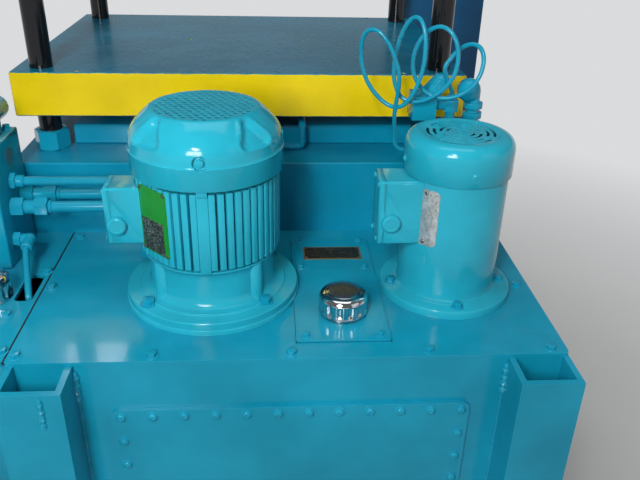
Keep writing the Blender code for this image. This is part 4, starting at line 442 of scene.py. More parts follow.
FINISH = {
    "turquoise_paint": enamel("turquoise_enamel", TURQUOISE),
    "motor_paint": enamel("motor_enamel", MOTOR_BLUE, roughness=0.13, sag=0.4, peel=0.4, dust=0.06),
    "cast_paint": enamel("casting_enamel", MOTOR_BLUE, roughness=0.17, sag=0.8, peel=1.2, grit=0.4),
    "bed_paint": enamel("bed_enamel", BED_BLUE, roughness=0.18),
    "platen_paint": platen_finish(),
    "cabinet_paint": enamel("cabinet_enamel", CABINET_BLUE, roughness=0.24, peel=0.7, wear=0.2, coat=0.05),
    "black_rod": metal("black_rod_steel", (0.085, 0.085, 0.095), roughness=0.08, brush=(1.0, 1.0, 0.05),
                       marks=0.06,
                       stain=0.1, stain_colour=(0.10, 0.09, 0.08), metallic=0.30),
    "chrome": chrome_finish(),
    "ground_steel": metal("ground_steel_face", (0.62, 0.63, 0.64), roughness=0.24, brush=(1.0, 1.0, 0.04),
                          marks=0.15,
                          stain=0.12),
    "raw_iron": metal("raw_iron_face", (0.30, 0.30, 0.31), roughness=0.55, marks=0.5, stain=0.4,
                      stain_colour=(0.22, 0.17, 0.13), metallic=0.8, depth=0.0004),
    "black_plastic": metal("black_plastic_grain", (0.10, 0.10, 0.11), roughness=0.42, marks=0.4, stain=0.1,
                           stain_colour=(0.2, 0.2, 0.2), metallic=0.0),
    "bronze_plate": bare_plate("bronze_plate_face", (0.62, 0.50, 0.30), metallic=0.7,
                               rim_colour=(0.30, 0.22, 0.12)),
    "dark_plate": etched_plate("dark_plate_face", dark=(0.17, 0.12, 0.06), bright=(0.62, 0.50, 0.28),
                               share=0.60),
    "pale_plate": etched_plate("pale_plate_face", dark=(0.50, 0.53, 0.52), bright=(0.86, 0.88, 0.88),
                               share=0.40),
    "etched_plate": etched_plate("etched_plate_face", dark=(0.17, 0.20, 0.16), bright=(0.66, 0.68, 0.64),
                                 share=0.54),
    "green_plate": bare_plate("green_plate_face", (0.10, 0.58, 0.14), metallic=0.10,
                              rim_colour=(0.06, 0.30, 0.10)),
    "screw_steel": metal("screw_steel", (0.55, 0.56, 0.57), roughness=0.30, stain=0.3),
    "weld_paint": enamel("weld_enamel", TURQUOISE, roughness=0.28, sag=1.0, peel=2.2, grit=1.0, wear=0.1),
    "bare_patch": metal("bare_steel_patch", (0.66, 0.60, 0.57), roughness=0.38, marks=0.4, stain=0.4),
    # Painted shade: a dark strip that stands for the shadow in the cover's seam.
    "dark_seam_shade": metal("dark_seam_shadow", (0.035, 0.095, 0.115), roughness=0.60, stain=0.1, metallic=0.0),
    # Painted shade: a dark teal strip that stands for the shadow in the seam round the access plate.
    "teal_seam_shade": metal("teal_seam_shadow", (0.030, 0.400, 0.480), roughness=0.35, metallic=0.0,
                            stain_colour=(0.03, 0.30, 0.36)),
}

NODE_FINISH = {
    "bed": "bed_paint", "cylinder_head_block": "bed_paint", "bed_pipe": "bed_paint", "platen": "platen_paint",
    "ram": "ground_steel", "gland_ring": "ground_steel", "filler_neck": "ground_steel",
    "breather_cap": "chrome", "side_breather": "chrome", "control_cabinet": "cabinet_paint",
    "cabinet_door": "cabinet_paint", "door_handle": "black_plastic", "main_rotor": "black_plastic",
    "aux_rotor": "black_plastic", "main_pump": "raw_iron", "aux_pump": "raw_iron",
    "main_motor_flange": "cast_paint", "main_motor_frame": "cast_paint", "main_fan_cover": "motor_paint",
    "aux_motor_frame": "motor_paint", "aux_fan_cover": "motor_paint", "main_terminal_box": "cast_paint",
    "aux_terminal_box": "motor_paint",
}


def finish_of(node):
    """Give the finish of a node by its name."""
    if node.startswith("strain_rod"):
        return "black_rod"
    return NODE_FINISH.get(node, "turquoise_paint")


def dress_nodes():
    """Give every solid its own finish."""
    for name, item in NODES.items():
        item.data.materials.clear()
        item.data.materials.append(FINISH[finish_of(name)])


# Help for modelling


def let_go():
    """Leave edit mode and deselect everything."""
    if bpy.context.object and bpy.context.object.mode != "OBJECT":
        bpy.ops.object.mode_set(mode="OBJECT")
    bpy.ops.object.select_all(action="DESELECT")


def pick(item):
    """Make one piece the only one that is selected."""
    let_go()
    bpy.context.view_layer.objects.active = item
    item.select_set(True)


def open_mesh(item):
    """Open a piece's mesh with all of it selected."""
    pick(item)
    bpy.ops.object.mode_set(mode="EDIT")
    bpy.ops.mesh.select_all(action="SELECT")


def raise_and_close(height):
    """Draw the open mesh up by a height, turn every face outwards and leave it."""
    bpy.ops.mesh.select_all(action="SELECT")
    bpy.ops.mesh.extrude_region_move(TRANSFORM_OT_translate={"value": (0, 0, height)})
    bpy.ops.mesh.select_all(action="SELECT")
    bpy.ops.mesh.normals_make_consistent(inside=False)
    bpy.ops.object.mode_set(mode="OBJECT")


def rest_in_place(item):
    """Put a piece's place, turn and size into its mesh."""
    pick(item)
    bpy.ops.object.transform_apply(location=True, rotation=True, scale=True)
    return item


def close_up(item, distance=0.00001):
    """Merge doubles and turn every face outwards."""
    open_mesh(item)
    bpy.ops.mesh.remove_doubles(threshold=distance)
    bpy.ops.mesh.normals_make_consistent(inside=False)
    bpy.ops.object.mode_set(mode="OBJECT")
    return item


def smooth(item, degrees=34):
    """Shade a piece smooth, with its sharp edges kept."""
    pick(item)
    bpy.ops.object.shade_smooth_by_angle(angle=math.radians(degrees))
    return item


def apply_all(item):
    """Apply a piece's modifiers in their order."""
    pick(item)
    for modifier in list(item.modifiers):
        bpy.ops.object.modifier_apply(modifier=modifier.name)
    return item


def soften(item, width, segments=2, degrees=30):
    """Round a piece's sharp edges."""
    bevel = item.modifiers.new("soft_edges", "BEVEL")
    bevel.width = width
    bevel.segments = segments
    bevel.limit_method = "ANGLE"
    bevel.angle_limit = math.radians(degrees)
    bevel.harden_normals = False
    return apply_all(item)


def give_wall(item, thickness):
    """Give a shell its wall, inwards from its face."""
    wall = item.modifiers.new("wall", "SOLIDIFY")
    wall.thickness = thickness
    wall.offset = -1.0
    return apply_all(item)


def cut_away(item, tool, operation="DIFFERENCE"):
    """Cut a piece with a tool, which is then thrown away."""
    change = item.modifiers.new("cut", "BOOLEAN")
    change.operation = operation
    change.solver = "EXACT"
    change.object = tool
    apply_all(item)
    bpy.data.objects.remove(tool, do_unlink=True)
    return item


def keep(item, name, finish, body=FRAME_BODY, stands_for=()):
    """Finish a piece: its name, material and the body that it rides on."""
    rest_in_place(item)
    item.name = name
    item.data.name = name
    item.data.materials.clear()
    item.data.materials.append(FINISH[finish])
    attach(item, body)
    if stands_for:
        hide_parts(*stands_for)
    return item


def block(centre, size):
    """Add a plain block by its centre and its three sizes."""
    let_go()
    bpy.ops.mesh.primitive_cube_add(size=1.0, location=centre, scale=size)
    return rest_in_place(bpy.context.object)


def round_bar(radius, length, sides, height=0.0):
    """Add a plain upright bar by the height of its middle."""
    let_go()
    bpy.ops.mesh.primitive_cylinder_add(vertices=sides, radius=radius, depth=length, location=(0, 0, height))
    return rest_in_place(bpy.context.object)


def flat_sheet(wide, tall):
    """Add a plain flat sheet."""
    let_go()
    bpy.ops.mesh.primitive_plane_add(size=1.0)
    sheet = bpy.context.object
    sheet.scale = (wide, tall, 1.0)
    return rest_in_place(sheet)


def draw_out(name, stations, centre=(0, 0), sides=64, open_ends=False):
    """Turn a piece on its upright axis: a ring is drawn out from station to station.

    Each station is a radius and a height. A radius of zero closes the piece to a point.
    """
    let_go()
    radius, height = stations[0]
    bpy.ops.mesh.primitive_circle_add(vertices=sides, radius=radius, fill_type="NOTHING",
                                      location=(centre[0], centre[1], height))
    item = bpy.context.object
    item.name = name
    open_mesh(item)
    if not open_ends:
        bpy.ops.mesh.edge_face_add()
    for new_radius, new_height in stations[1:]:
        bpy.ops.mesh.extrude_region_move(TRANSFORM_OT_translate={"value": (0, 0, new_height - height)})
        if new_radius <= 0:
            bpy.ops.mesh.merge(type="CENTER")
            break
        share = new_radius / radius
        bpy.ops.transform.resize(value=(share, share, 1), center_override=(centre[0], centre[1], new_height))
        radius = new_radius
        height = new_height
    bpy.ops.object.mode_set(mode="OBJECT")
    return rest_in_place(close_up(item, 0.000005))


def lifted(profile, base):
    """Stand a profile of radii and heights on a base height."""
    return [(radius, base + height) for radius, height in profile]


def copy_of(item, name):
    """Copy a piece with a mesh of its own."""
    twin = item.copy()
    twin.data = item.data.copy()
    twin.name = name
    bpy.context.scene.collection.objects.link(twin)
    return twin


def merged(items, name):
    """Join pieces into one object."""
    let_go()
    for item in items:
        item.select_set(True)
    bpy.context.view_layer.objects.active = items[0]
    if len(items) > 1:
        bpy.ops.object.join()
    items[0].name = name
    return items[0]


def merged_copy(node):
    """Copy a solid's mesh, with its loose triangles merged."""
    twin = copy_of(NODES[node], node + "_copy")
    twin.parent = None
    twin.matrix_world = Matrix.Identity(4)
    return close_up(twin)


def body_for(node):
    """Give the name of the body that a solid rides on."""
    return (body_of(NODES[node]) or [FRAME_BODY])[0]


def middle(low, high):
    """Give the middle of a box."""
    return [(a + b) / 2 for a, b in zip(low, high)]


def clamped(value, low=0.0, high=1.0):
    """Hold a value between two limits."""
    return max(low, min(high, value))


def eased(share):
    """Ease a share in and out."""
    return share * share * (3 - 2 * share)


def heading(degrees):
    """Give the level direction at a turn from the X axis."""
    angle = math.radians(degrees)
    return Vector((math.cos(angle), math.sin(angle), 0.0))


# Hexagons, screws and pipes


def hexagon_bar(name, across, length, chamfer=0.0012, both=True):
    """A hexagon on its end at the origin, its corners turned off at the top, and below too for a nut."""
    corner = across / math.sqrt(3)
    bar = round_bar(corner, length, sides=6, height=length / 2)
    drop = corner - across / 2
    turned_off = drop * 0.62
    narrow = corner - drop - chamfer * 0.3
    wide = corner + 0.0002
    below = [(narrow, 0.0), (wide, turned_off)] if both else [(narrow, -0.002), (wide, -0.001)]
    turned = draw_out("crown", below + [(wide, length - turned_off), (narrow, length)], sides=48)
    cut_away(bar, turned, "INTERSECT")
    bar.name = name
    return bar


def cap_screw(across, height, washer):
    """A hexagon screw head on its washer, standing on the origin."""
    thick = 0.0013
    profile = [(washer, 0.0), (washer, 0.0010), (washer - 0.0004, thick), (across * 0.45, thick)]
    ring = draw_out("washer", profile, sides=24)
    head = hexagon_bar("head", across, height, chamfer=0.0008, both=False)
    head.location.z = 0.0012
    return merged([ring, rest_in_place(head)], "cap_screw")


# Shares of a domed screw's radius: its rim by thickness, then its dome and socket by shares of its height
BUTTON_RIM = ((1.32, 0.0), (1.32, 0.0009), (1.00, 0.0012), (1.00, 0.0018))
BUTTON_DOME = ((0.93, 0.62), (0.74, 0.86), (0.46, 1.00), (0.40, 1.00), (0.34, 0.72), (0.0, 0.66))


def button_screw(radius, height):
    """A domed screw head with its shallow socket, standing on the origin."""
    stations = [(radius * share, up) for share, up in BUTTON_RIM]
    stations += [(radius * share, height * up) for share, up in BUTTON_DOME]
    return draw_out("button_screw", stations, sides=24)


def spread(master, spots, name, finish):
    """Copy a modelled fastener to its spots, each a place, a direction and a turn, and join the copies."""
    copies = []
    for number, (place, direction, turn) in enumerate(spots):
        twin = copy_of(master, name + "_" + str(number))
        stand = Vector(direction).to_track_quat("Z", "Y").to_matrix().to_4x4()
        twin.matrix_world = Matrix.Translation(place) @ stand @ Matrix.Rotation(math.radians(turn), 4, "Z")
        copies.append(rest_in_place(twin))
    bpy.data.objects.remove(master, do_unlink=True)
    return keep(smooth(merged(copies, name), degrees=35), name, finish)


def bent_route(corners, bend, steps=8):
    """Round the corners of a route of straight runs."""
    points = [Vector(corners[0])]
    for before, corner, after in zip(corners, corners[1:], corners[2:]):
        corner = Vector(corner)
        back = (Vector(before) - corner).normalized()
        ahead = (Vector(after) - corner).normalized()
        half = back.angle(ahead) / 2
        centre = corner + (back + ahead).normalized() * (bend / math.sin(half))
        first = corner + back * (bend / math.tan(half)) - centre
        last = corner + ahead * (bend / math.tan(half)) - centre
        points += [centre + first.slerp(last, step / steps) * bend for step in range(steps + 1)]
    return points + [Vector(corners[-1])]


def pipe(points, radius, fineness=5):
    """Draw a round bar along its route and make it a mesh."""
    let_go()
    curve = bpy.data.curves.new("run", "CURVE")
    curve.dimensions = "3D"
    curve.bevel_depth = radius
    curve.bevel_resolution = fineness
    curve.use_fill_caps = True
    spline = curve.splines.new("POLY")
    spline.points.add(len(points) - 1)
    for point, spot in zip(spline.points, points):
        point.co = (*spot, 1.0)
    item = bpy.data.objects.new("run", curve)
    bpy.context.scene.collection.objects.link(item)
    pick(item)
    bpy.ops.object.convert(target="MESH")
    return close_up(bpy.context.object)


def on_line(item, start, end):
    """Stand a piece that was made at the origin on a line from start towards end."""
    direction = (Vector(end) - Vector(start)).normalized()
    item.matrix_world = Matrix.Translation(start) @ direction.to_track_quat("Z", "Y").to_matrix().to_4x4()
    return rest_in_place(item)


def nut_on(across, start, end):
    """A hexagon nut on a pipe from start to end."""
    return on_line(hexagon_bar("nut", across, (Vector(end) - Vector(start)).length), start, end)


def collar_on(radius, start, end, edge=0.0008):
    """A round collar on a pipe from start to end, with its edges broken."""
    length = (Vector(end) - Vector(start)).length
    profile = [(radius - edge, 0.0), (radius, edge), (radius, length - edge), (radius - edge, length)]
    return on_line(draw_out("collar", profile, sides=36), start, end)


def about(axis, degrees):
    """Give the matrix that moves a piece from the origin to an axis and turns it there."""
    return Matrix.Translation((*axis, 0.0)) @ Matrix.Rotation(math.radians(degrees), 4, "Z")


# The main fan cover: its skirt above the bottom edge, its dome by height, and its dimples' middle
COVER_SKIRT = ((0.1141, 0.0), (0.1147, 0.0008), (0.1147, 0.0300), (0.1156, 0.0318), (0.1157, 0.0336),
               (0.1145, 0.0352), (0.1144, 0.0395))
COVER_DOME = ((0.1141, 1.1640), (0.1131, 1.1705), (0.1113, 1.1765), (0.1084, 1.1822), (0.1046, 1.1876),
              (0.1003, 1.1926), (0.0957, 1.1974), (0.0911, 1.2018), (0.0868, 1.2056), (0.0832, 1.2084),
              (0.0805, 1.2100))
COVER_CROWN = ((0.0805, 1.2100), (0.0780, 1.2106), (0.0745, 1.2106), (0.0400, 1.2108), (0.0, 1.2109))
DIMPLE_RADIUS = 0.107
DIMPLE_HEIGHT = 1.1880
DIMPLE_STRETCH = 1.28


def dimple_depth(across, along):
    """Give how far a point of the main fan cover is pressed in: a round-cornered triangle with a soft rim."""
    half = 0.0160
    corner = 0.0130
    slope_width = 0.0120
    deepest = 0.0078
    rim_height = 0.0017
    rim_place = 0.0012
    rim_width = 0.0028
    x = abs(across) - half
    y = along + half / math.sqrt(3)
    if x + math.sqrt(3) * y > 0:
        x, y = (x - math.sqrt(3) * y) / 2, (-math.sqrt(3) * x - y) / 2
    x -= clamped(x, -2 * half, 0.0)
    outside = -math.hypot(x, y) * (1 if y > 0 else -1) - corner
    pressed = eased(clamped(-outside / slope_width))
    rim = math.exp(-((outside - rim_place) / rim_width) ** 2)
    return deepest * pressed - rim_height * rim


def press_dimples(cover, lowest):
    """Press four dimples into the dome, fading out at its crown."""
    crown_edge = 0.079
    crown_height = 1.2100
    fade = 0.0060
    sideways = 0.75
    downwards = 0.66
    for vertex in cover.data.vertices:
        x = vertex.co.x - MAIN_AXIS[0]
        y = vertex.co.y - MAIN_AXIS[1]
        out = math.hypot(x, y)
        if out < crown_edge or vertex.co.z < lowest:
            continue
        turn = math.radians(math.degrees(math.atan2(y, x)) % 90.0 - 45.0)
        depth = dimple_depth(turn * DIMPLE_RADIUS, (vertex.co.z - DIMPLE_HEIGHT) * DIMPLE_STRETCH)
        inward = Vector((-x / out * sideways, -y / out * sideways, -downwards))
        vertex.co += inward * depth * clamped((crown_height - vertex.co.z) / fade)


def grille_cutter(height):
    """The tool for the round grille: staggered rows of bars within a circle."""
    pitch = 0.0118
    row_step = 0.0102
    grille_radius = 0.0720
    reach = 7
    bar = round_bar(radius=0.0039, length=0.012, sides=14, height=height)
    bars = []
    for row in range(-reach, reach + 1):
        for column in range(-reach, reach + 1):
            x = (column + (0.5 if row % 2 else 0.0)) * pitch
            y = row * row_step
            if math.hypot(x, y) > grille_radius:
                continue
            twin = copy_of(bar, "grille_hole")
            twin.location = (MAIN_AXIS[0] + x, MAIN_AXIS[1] + y, 0.0)
            bars.append(twin)
    bpy.data.objects.remove(bar, do_unlink=True)
    return rest_in_place(merged(bars, "grille_tool"))


def make_main_fan_cover():
    """The domed cover over the main motor's fan: four pressed dimples, a bead, a grille and its screws."""
    low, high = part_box("main_fan_cover")
    fine = []
    for (r0, z0), (r1, z1) in zip(COVER_DOME, COVER_DOME[1:]):
        fine += [(r0, z0), ((r0 + r1) / 2, (z0 + z1) / 2)]
    stations = lifted(COVER_SKIRT, low[2]) + fine + list(COVER_CROWN)
    cover = draw_out("main_cover", stations, MAIN_AXIS, sides=192, open_ends=True)
    press_dimples(cover, low[2] + 0.036)
    give_wall(cover, thickness=0.0014)
    cut_away(cover, grille_cutter(high[2]))
    screw_height = 1.1620
    cup_depth = 0.0066
    cup_radius = 0.0110
    pieces = [cover]
    for degrees in (0.0, 90.0, 180.0, 270.0):
        out = heading(degrees)
        spot = Vector((*MAIN_AXIS, screw_height))
        far = spot + out * 0.13
        cut_away(cover, on_line(round_bar(radius=0.0106, length=0.014, sides=40), spot + out * 0.1120, far))
        cup = draw_out("cup", [(cup_radius, 0.0), (cup_radius, -cup_depth), (0.0, -cup_depth)], sides=40,
                       open_ends=True)
        pieces.append(on_line(give_wall(cup, thickness=0.0006), spot + out * 0.1137, far))
        pieces.append(on_line(cap_screw(across=0.0100, height=0.0040, washer=0.0075), spot + out * 0.1076,
                              far))
    keep(smooth(merged(pieces, "fan_cover_main"), degrees=38), "fan_cover_main", "motor_paint", FRAME_BODY,
         ["main_fan_cover"])


def cooling_fin(bottom, top):
    """One cast fin on the X axis, thinner towards its outer edge and cut back at its foot."""
    root = 0.1025
    fin = block((root, 0.0, (bottom + top) / 2 + 0.0008), (0.0130, 0.0108, top - bottom - 0.0016))
    for vertex in fin.data.vertices:
        if vertex.co.x > root:
            vertex.co.y *= 0.84
            if vertex.co.z < bottom + 0.01:
                vertex.co.z += 0.0030
    return soften(fin, width=0.0011)


def cut_back(fin, from_plate):
    """Cut a fin back to the flat that carries the motor's plate."""
    plate_distance = 0.1040
    root = 0.100
    limit = plate_distance / math.cos(math.radians(from_plate))
    for vertex in fin.data.vertices:
        if vertex.co.x > root:
            vertex.co.x = min(vertex.co.x, limit)


def make_finned_barrel():
    """The main motor's cast barrel with its cooling fins, a flat pad on each side and lugs for the cover."""
    low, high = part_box("main_motor_frame")
    bottom = low[2]
    top = high[2]
    fin_top = 1.1136
    lug_bottom = 1.1110
    fins = 52
    plate_reach = 17.5
    core = [(0.0970, bottom), (0.0975, bottom + 0.001), (0.0975, fin_top), (0.0960, top)]
    pieces = [draw_out("core", core, MAIN_AXIS, sides=104)]
    fin = cooling_fin(bottom, fin_top)
    for index in range(fins):
        if index % (fins // 4) == 0:
            continue
        degrees = 360.0 / fins * index
        twin = copy_of(fin, "fin")
        from_plate = abs((degrees - PLATE_DEGREES + 180.0) % 360.0 - 180.0)
        if from_plate < plate_reach:
            cut_back(twin, from_plate)
        twin.matrix_world = about(MAIN_AXIS, degrees)
        pieces.append(twin)
    bpy.data.objects.remove(fin, do_unlink=True)
    for degrees in (0.0, 90.0, 180.0, 270.0):
        pad = block((0.1021, 0.0, (bottom + fin_top) / 2), (0.0136, 0.0165, fin_top - bottom - 0.0006))
        lug = block((0.1040, 0.0, (lug_bottom + top) / 2), (0.0160, 0.0155, top - lug_bottom))
        for piece, edge in ((pad, 0.0012), (lug, 0.0010)):
            soften(piece, edge)
            piece.matrix_world = about(MAIN_AXIS, degrees)
            pieces.append(piece)
    for piece in pieces:
        rest_in_place(piece)
    keep(smooth(merged(pieces, "finned_barrel")), "finned_barrel", "cast_paint", FRAME_BODY,
         ["main_motor_frame"])


# The main motor's flange end and one of its bolt bosses, above the flange's underside, then the turns
# of its bosses and the screws of the flange: each one's place, and how far its head is turned
SHIELD = ((0.1390, 0.0), (0.1390, 0.0068), (0.1384, 0.0078), (0.1372, 0.0080), (0.1372, 0.0182),
          (0.1360, 0.0196), (0.1340, 0.0200), (0.1190, 0.0202), (0.1170, 0.0212), (0.1156, 0.0228),
          (0.1080, 0.0236), (0.1030, 0.0262), (0.0996, 0.0312), (0.0982, 0.0390), (0.0980, 0.0700),
          (0.0990, 0.0770), (0.1018, 0.0822), (0.1050, 0.0850), (0.1056, 0.0862))
SHIELD_RIM = ((0.1056, -0.0006), (0.1050, 0.0))
BOSS = ((0.0150, 0.0205), (0.0150, 0.0230), (0.0138, 0.0262), (0.0130, 0.0320))
BOSS_TOP = ((0.0130, -0.0060), (0.0122, -0.0030), (0.0100, -0.0018))
BOSS_TURNS = (-139.6, -42.7, 40.4, 137.3)
MAIN_FLANGE_SCREWS = ((-0.1385, -0.631, 12), (0.040, -0.630, 31), (0.0485, -0.472, 4), (-0.1385, -0.472, 50))


def make_end_shield():
    """The main motor's flange end on its ring: a stepped flange, a waisted drum and four bolt bosses."""
    low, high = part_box("main_motor_flange")
    base = low[2]
    top = high[2]
    boss_circle = 0.0925
    pieces = [draw_out("shield", lifted(SHIELD, base) + lifted(SHIELD_RIM, top), MAIN_AXIS, sides=128)]
    for degrees in BOSS_TURNS:
        spot = Vector((*MAIN_AXIS, 0.0)) + heading(degrees) * boss_circle
        pieces.append(draw_out("boss", lifted(BOSS, base) + lifted(BOSS_TOP, top), (spot.x, spot.y),
                               sides=40))
    keep(smooth(merged(pieces, "end_shield")), "end_shield", "cast_paint", FRAME_BODY, ["main_motor_flange"])
    spots = [((x, y, base + 0.0199), UP, turn) for x, y, turn in MAIN_FLANGE_SCREWS]
    spread(cap_screw(across=0.0170, height=0.0085, washer=0.0135), spots, "flange_screws_main",
           "turquoise_paint")


# The second motor's flange and barrel above the flange's underside, and the screws of the flange
SMOOTH_BARREL = ((0.1070, 0.0), (0.1070, 0.0122), (0.1062, 0.0134), (0.1048, 0.0140), (0.0900, 0.0142),
                 (0.0884, 0.0152), (0.0868, 0.0160), (0.0832, 0.0166), (0.0810, 0.0182), (0.0802, 0.0210),
                 (0.0800, 0.0300), (0.0800, 0.2080), (0.0796, 0.2092), (0.0796, 0.2123), (0.0817, 0.2125),
                 (0.0817, 0.2175), (0.0790, 0.2177))
SECOND_FLANGE_SCREWS = ((0.2470, -0.5610, 10), (0.3400, -0.6430, 24), (0.4280, -0.5600, 40),
                        (0.3390, -0.4600, 0))


def make_smooth_barrel():
    """The second motor's rolled barrel on its flange, with a shallow groove under its end ring."""
    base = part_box("aux_motor_frame")[0][2]
    barrel = draw_out("barrel", lifted(SMOOTH_BARREL, base), AUX_AXIS, sides=128)
    keep(smooth(barrel), "smooth_barrel", "motor_paint", FRAME_BODY, ["aux_motor_frame"])
    spots = [((x, y, base + 0.0139), UP, turn) for x, y, turn in SECOND_FLANGE_SCREWS]
    spread(cap_screw(across=0.0130, height=0.0070, washer=0.0105), spots, "flange_screws_second",
           "turquoise_paint")


# The second fan cover: its side above the bottom edge, its crown below the top, and its rings of slots,
# each by its radius, its width, how many slots there are and what share of the ring they take
SECOND_SIDE = ((0.0834, 0.0), (0.0840, 0.0008), (0.0840, 0.0355), (0.0839, 0.0395), (0.0834, 0.0436),
               (0.0824, 0.0475), (0.0808, 0.0510), (0.0786, 0.0541), (0.0758, 0.0566), (0.0725, 0.0584),
               (0.0690, 0.0595))
SECOND_CROWN = ((0.0650, -0.0002), (0.0610, 0.0), (0.0585, -0.0006), (0.0572, -0.0012), (0.0560, -0.0013),
                (0.0300, -0.0012), (0.0, -0.0012))
SLOT_RINGS = ((0.0505, 0.0042, 6, 0.80), (0.0405, 0.0042, 6, 0.74), (0.0305, 0.0042, 4, 0.78),
              (0.0205, 0.0040, 4, 0.66), (0.0110, 0.0038, 2, 0.60))


def curved_slot(radius, width, start, sweep, top):
    """A cutter for one curved slot, its face swung round the second motor's axis."""
    below = 0.008
    above = 0.004
    let_go()
    bpy.ops.mesh.primitive_plane_add(size=1.0, rotation=(math.pi / 2, 0.0, 0.0))
    item = bpy.context.object
    item.scale = (width, above + below, 1.0)
    item.location = (radius, 0.0, top + (above - below) / 2)
    rest_in_place(item)
    item.data.transform(about(AUX_AXIS, start))
    open_mesh(item)
    steps = max(6, int(sweep / 5))
    bpy.ops.mesh.spin(steps=steps, angle=math.radians(sweep), center=(*AUX_AXIS, 0.0), axis=UP)
    bpy.ops.object.mode_set(mode="OBJECT")
    return close_up(item)


def make_second_fan_cover():
    """The second motor's fan cover: a rolled crown with rings of curved slots and screws in its side."""
    low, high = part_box("aux_fan_cover")
    stations = lifted(SECOND_SIDE, low[2]) + lifted(SECOND_CROWN, high[2])
    cover = give_wall(draw_out("second_cover", stations, AUX_AXIS, sides=128, open_ends=True),
                      thickness=0.0018)
    ring_turn = 900
    tools = []
    for radius, width, count, fill in SLOT_RINGS:
        sweep = 360.0 / count * fill
        for index in range(count):
            start = 360.0 / count * index - sweep / 2 + radius * ring_turn
            tools.append(curved_slot(radius, width, start, sweep, high[2]))
    cut_away(cover, merged(tools, "slots"))
    keep(smooth(cover, degrees=38), "fan_cover_second", "motor_paint", FRAME_BODY, ["aux_fan_cover"])
    cover_radius = 0.0837
    screw_height = 1.1300
    spots = []
    for degrees in (-86.0, 4.0, 94.0, 184.0):
        out = heading(degrees)
        spots.append((Vector((*AUX_AXIS, screw_height)) + out * cover_radius, out, 15))
    spread(button_screw(radius=0.0040, height=0.0028), spots, "cover_screws_second", "motor_paint")


# A terminal box's plug, and the places of the two boxes' plugs across and up
PLUG = ((0.0146, 0.0), (0.0146, 0.0052), (0.0142, 0.0068), (0.0130, 0.0080), (0.0112, 0.0086),
        (0.0090, 0.0086), (0.0082, 0.0080), (0.0040, 0.0082), (0.0, 0.0083))
BOXES = (("main_terminal_box", "terminal_box_main", "cast_paint", -0.1783, 1.0418),
         ("aux_terminal_box", "terminal_box_second", "motor_paint", 0.2320, 1.0426))


def make_terminal_box(node, name, finish):
    """A terminal box with its edges rounded and the seam of its lid."""
    low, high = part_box(node)
    box = soften(merged_copy(node), width=0.0016, segments=3, degrees=40)
    y, z = middle(low, high)[1:]
    wide = high[1] - low[1]
    tall = high[2] - low[2]
    seam_x = low[0] + 0.0105
    groove = block((seam_x, y, z), (0.0009, wide + 0.004, tall + 0.004))
    heart = block((seam_x, y + 0.0023, z), (0.004, wide - 0.0062, tall - 0.0016))
    cut_away(box, cut_away(groove, heart))
    keep(smooth(box), name, finish, body_for(node), [node])


def make_boxes():
    """The two terminal boxes, each with a round plug and the screws of its lid."""
    plugs = []
    lids = []
    for node, name, finish, plug_x, plug_z in BOXES:
        make_terminal_box(node, name, finish)
        low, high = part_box(node)
        face = low[1] + 0.0045
        cap = draw_out("plug", PLUG, sides=48)
        plugs.append(on_line(cap, (plug_x, face, plug_z), (plug_x, face - 1, plug_z)))
        inset = 0.0080
        for y in (face + inset, high[1] - inset):
            for z in (low[2] + inset, high[2] - inset):
                lids.append(((low[0] + 0.0002, y, z), AGAINST_X, 20))
    keep(smooth(merged(plugs, "box_plugs")), "box_plugs", "motor_paint")
    spread(button_screw(radius=0.0034, height=0.0024), lids, "lid_screws", "motor_paint")


# A breather cap, by how far each station lies within its radius: above its seat, then below its top
CAP_RADIUS = 0.0382
CAP_SEAT = ((0.0010, 0.0), (0.0, 0.0006), (-0.0001, 0.0016), (0.0004, 0.0028))
CAP_TOP = ((0.0009, 0.0105), (0.0018, 0.0080), (0.0034, 0.0058), (0.0056, 0.0042), (0.0082, 0.0032),
           (0.0108, 0.0026), (0.0124, 0.0025), (0.0132, 0.0020), (0.0146, 0.0016), (0.0200, 0.0008),
           (0.0260, 0.0003))


def press_flutes(cap, centre, seat, tall):
    """Press the grip's flutes into a cap's side, easing in and out at their ends."""
    flutes = 14
    deepest = 0.0026
    first = seat + 0.0050
    reach = tall - 0.0170
    ease_in = 0.20
    ease_out = 0.12
    bias = 0.15
    inner = CAP_RADIUS - 0.0016
    for vertex in cap.data.vertices:
        x = vertex.co.x - centre[0]
        y = vertex.co.y - centre[1]
        out = math.hypot(x, y)
        share = (vertex.co.z - first) / reach
        if out < inner or not 0.0 <= share <= 1.0:
            continue
        wave = max(0.0, math.cos(math.atan2(y, x) * flutes) + bias) / (1.0 + bias)
        ends = clamped(min(share / ease_in, (1.0 - share) / ease_out))
        press = deepest * (ends * (2 - ends)) * wave ** 0.6
        vertex.co.x -= x / out * press
        vertex.co.y -= y / out * press


def make_cap(name, node, centre):
    """A chrome breather cap: pressed flutes round its side, a stepped rim and a gently domed top."""
    low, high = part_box(node)
    seat = low[2]
    top = high[2]
    tall = top - seat
    steps = 14
    side_radius = CAP_RADIUS - 0.0006
    side_tall = tall - 0.0150
    side = [(side_radius, seat + 0.0040 + side_tall * step / steps) for step in range(steps + 1)]
    stations = [(CAP_RADIUS - inward, seat + up) for inward, up in CAP_SEAT] + side
    stations += [(CAP_RADIUS - inward, top - down) for inward, down in CAP_TOP] + [(0.0, top)]
    cap = draw_out(name, stations, centre, sides=196)
    press_flutes(cap, centre, seat, tall)
    keep(smooth(cap, degrees=50), name, "chrome", body_for(node), [node])


CORNERS = ("front_right", "front_left", "rear_right", "rear_left")
ROD_RADIUS = 0.0203
HEAD_ACROSS = 0.0560
ROD_HEAD = ((0.0240, 0.001), (0.0268, 0.004), (0.0268, 0.0300), (ROD_RADIUS, 0.0301))
ROD_COLLAR = ((ROD_RADIUS, -0.0203), (0.0282, -0.0203), (0.0290, -0.0190), (0.0290, -0.0010),
              (0.0284, -0.0003), (ROD_RADIUS, -0.0003))


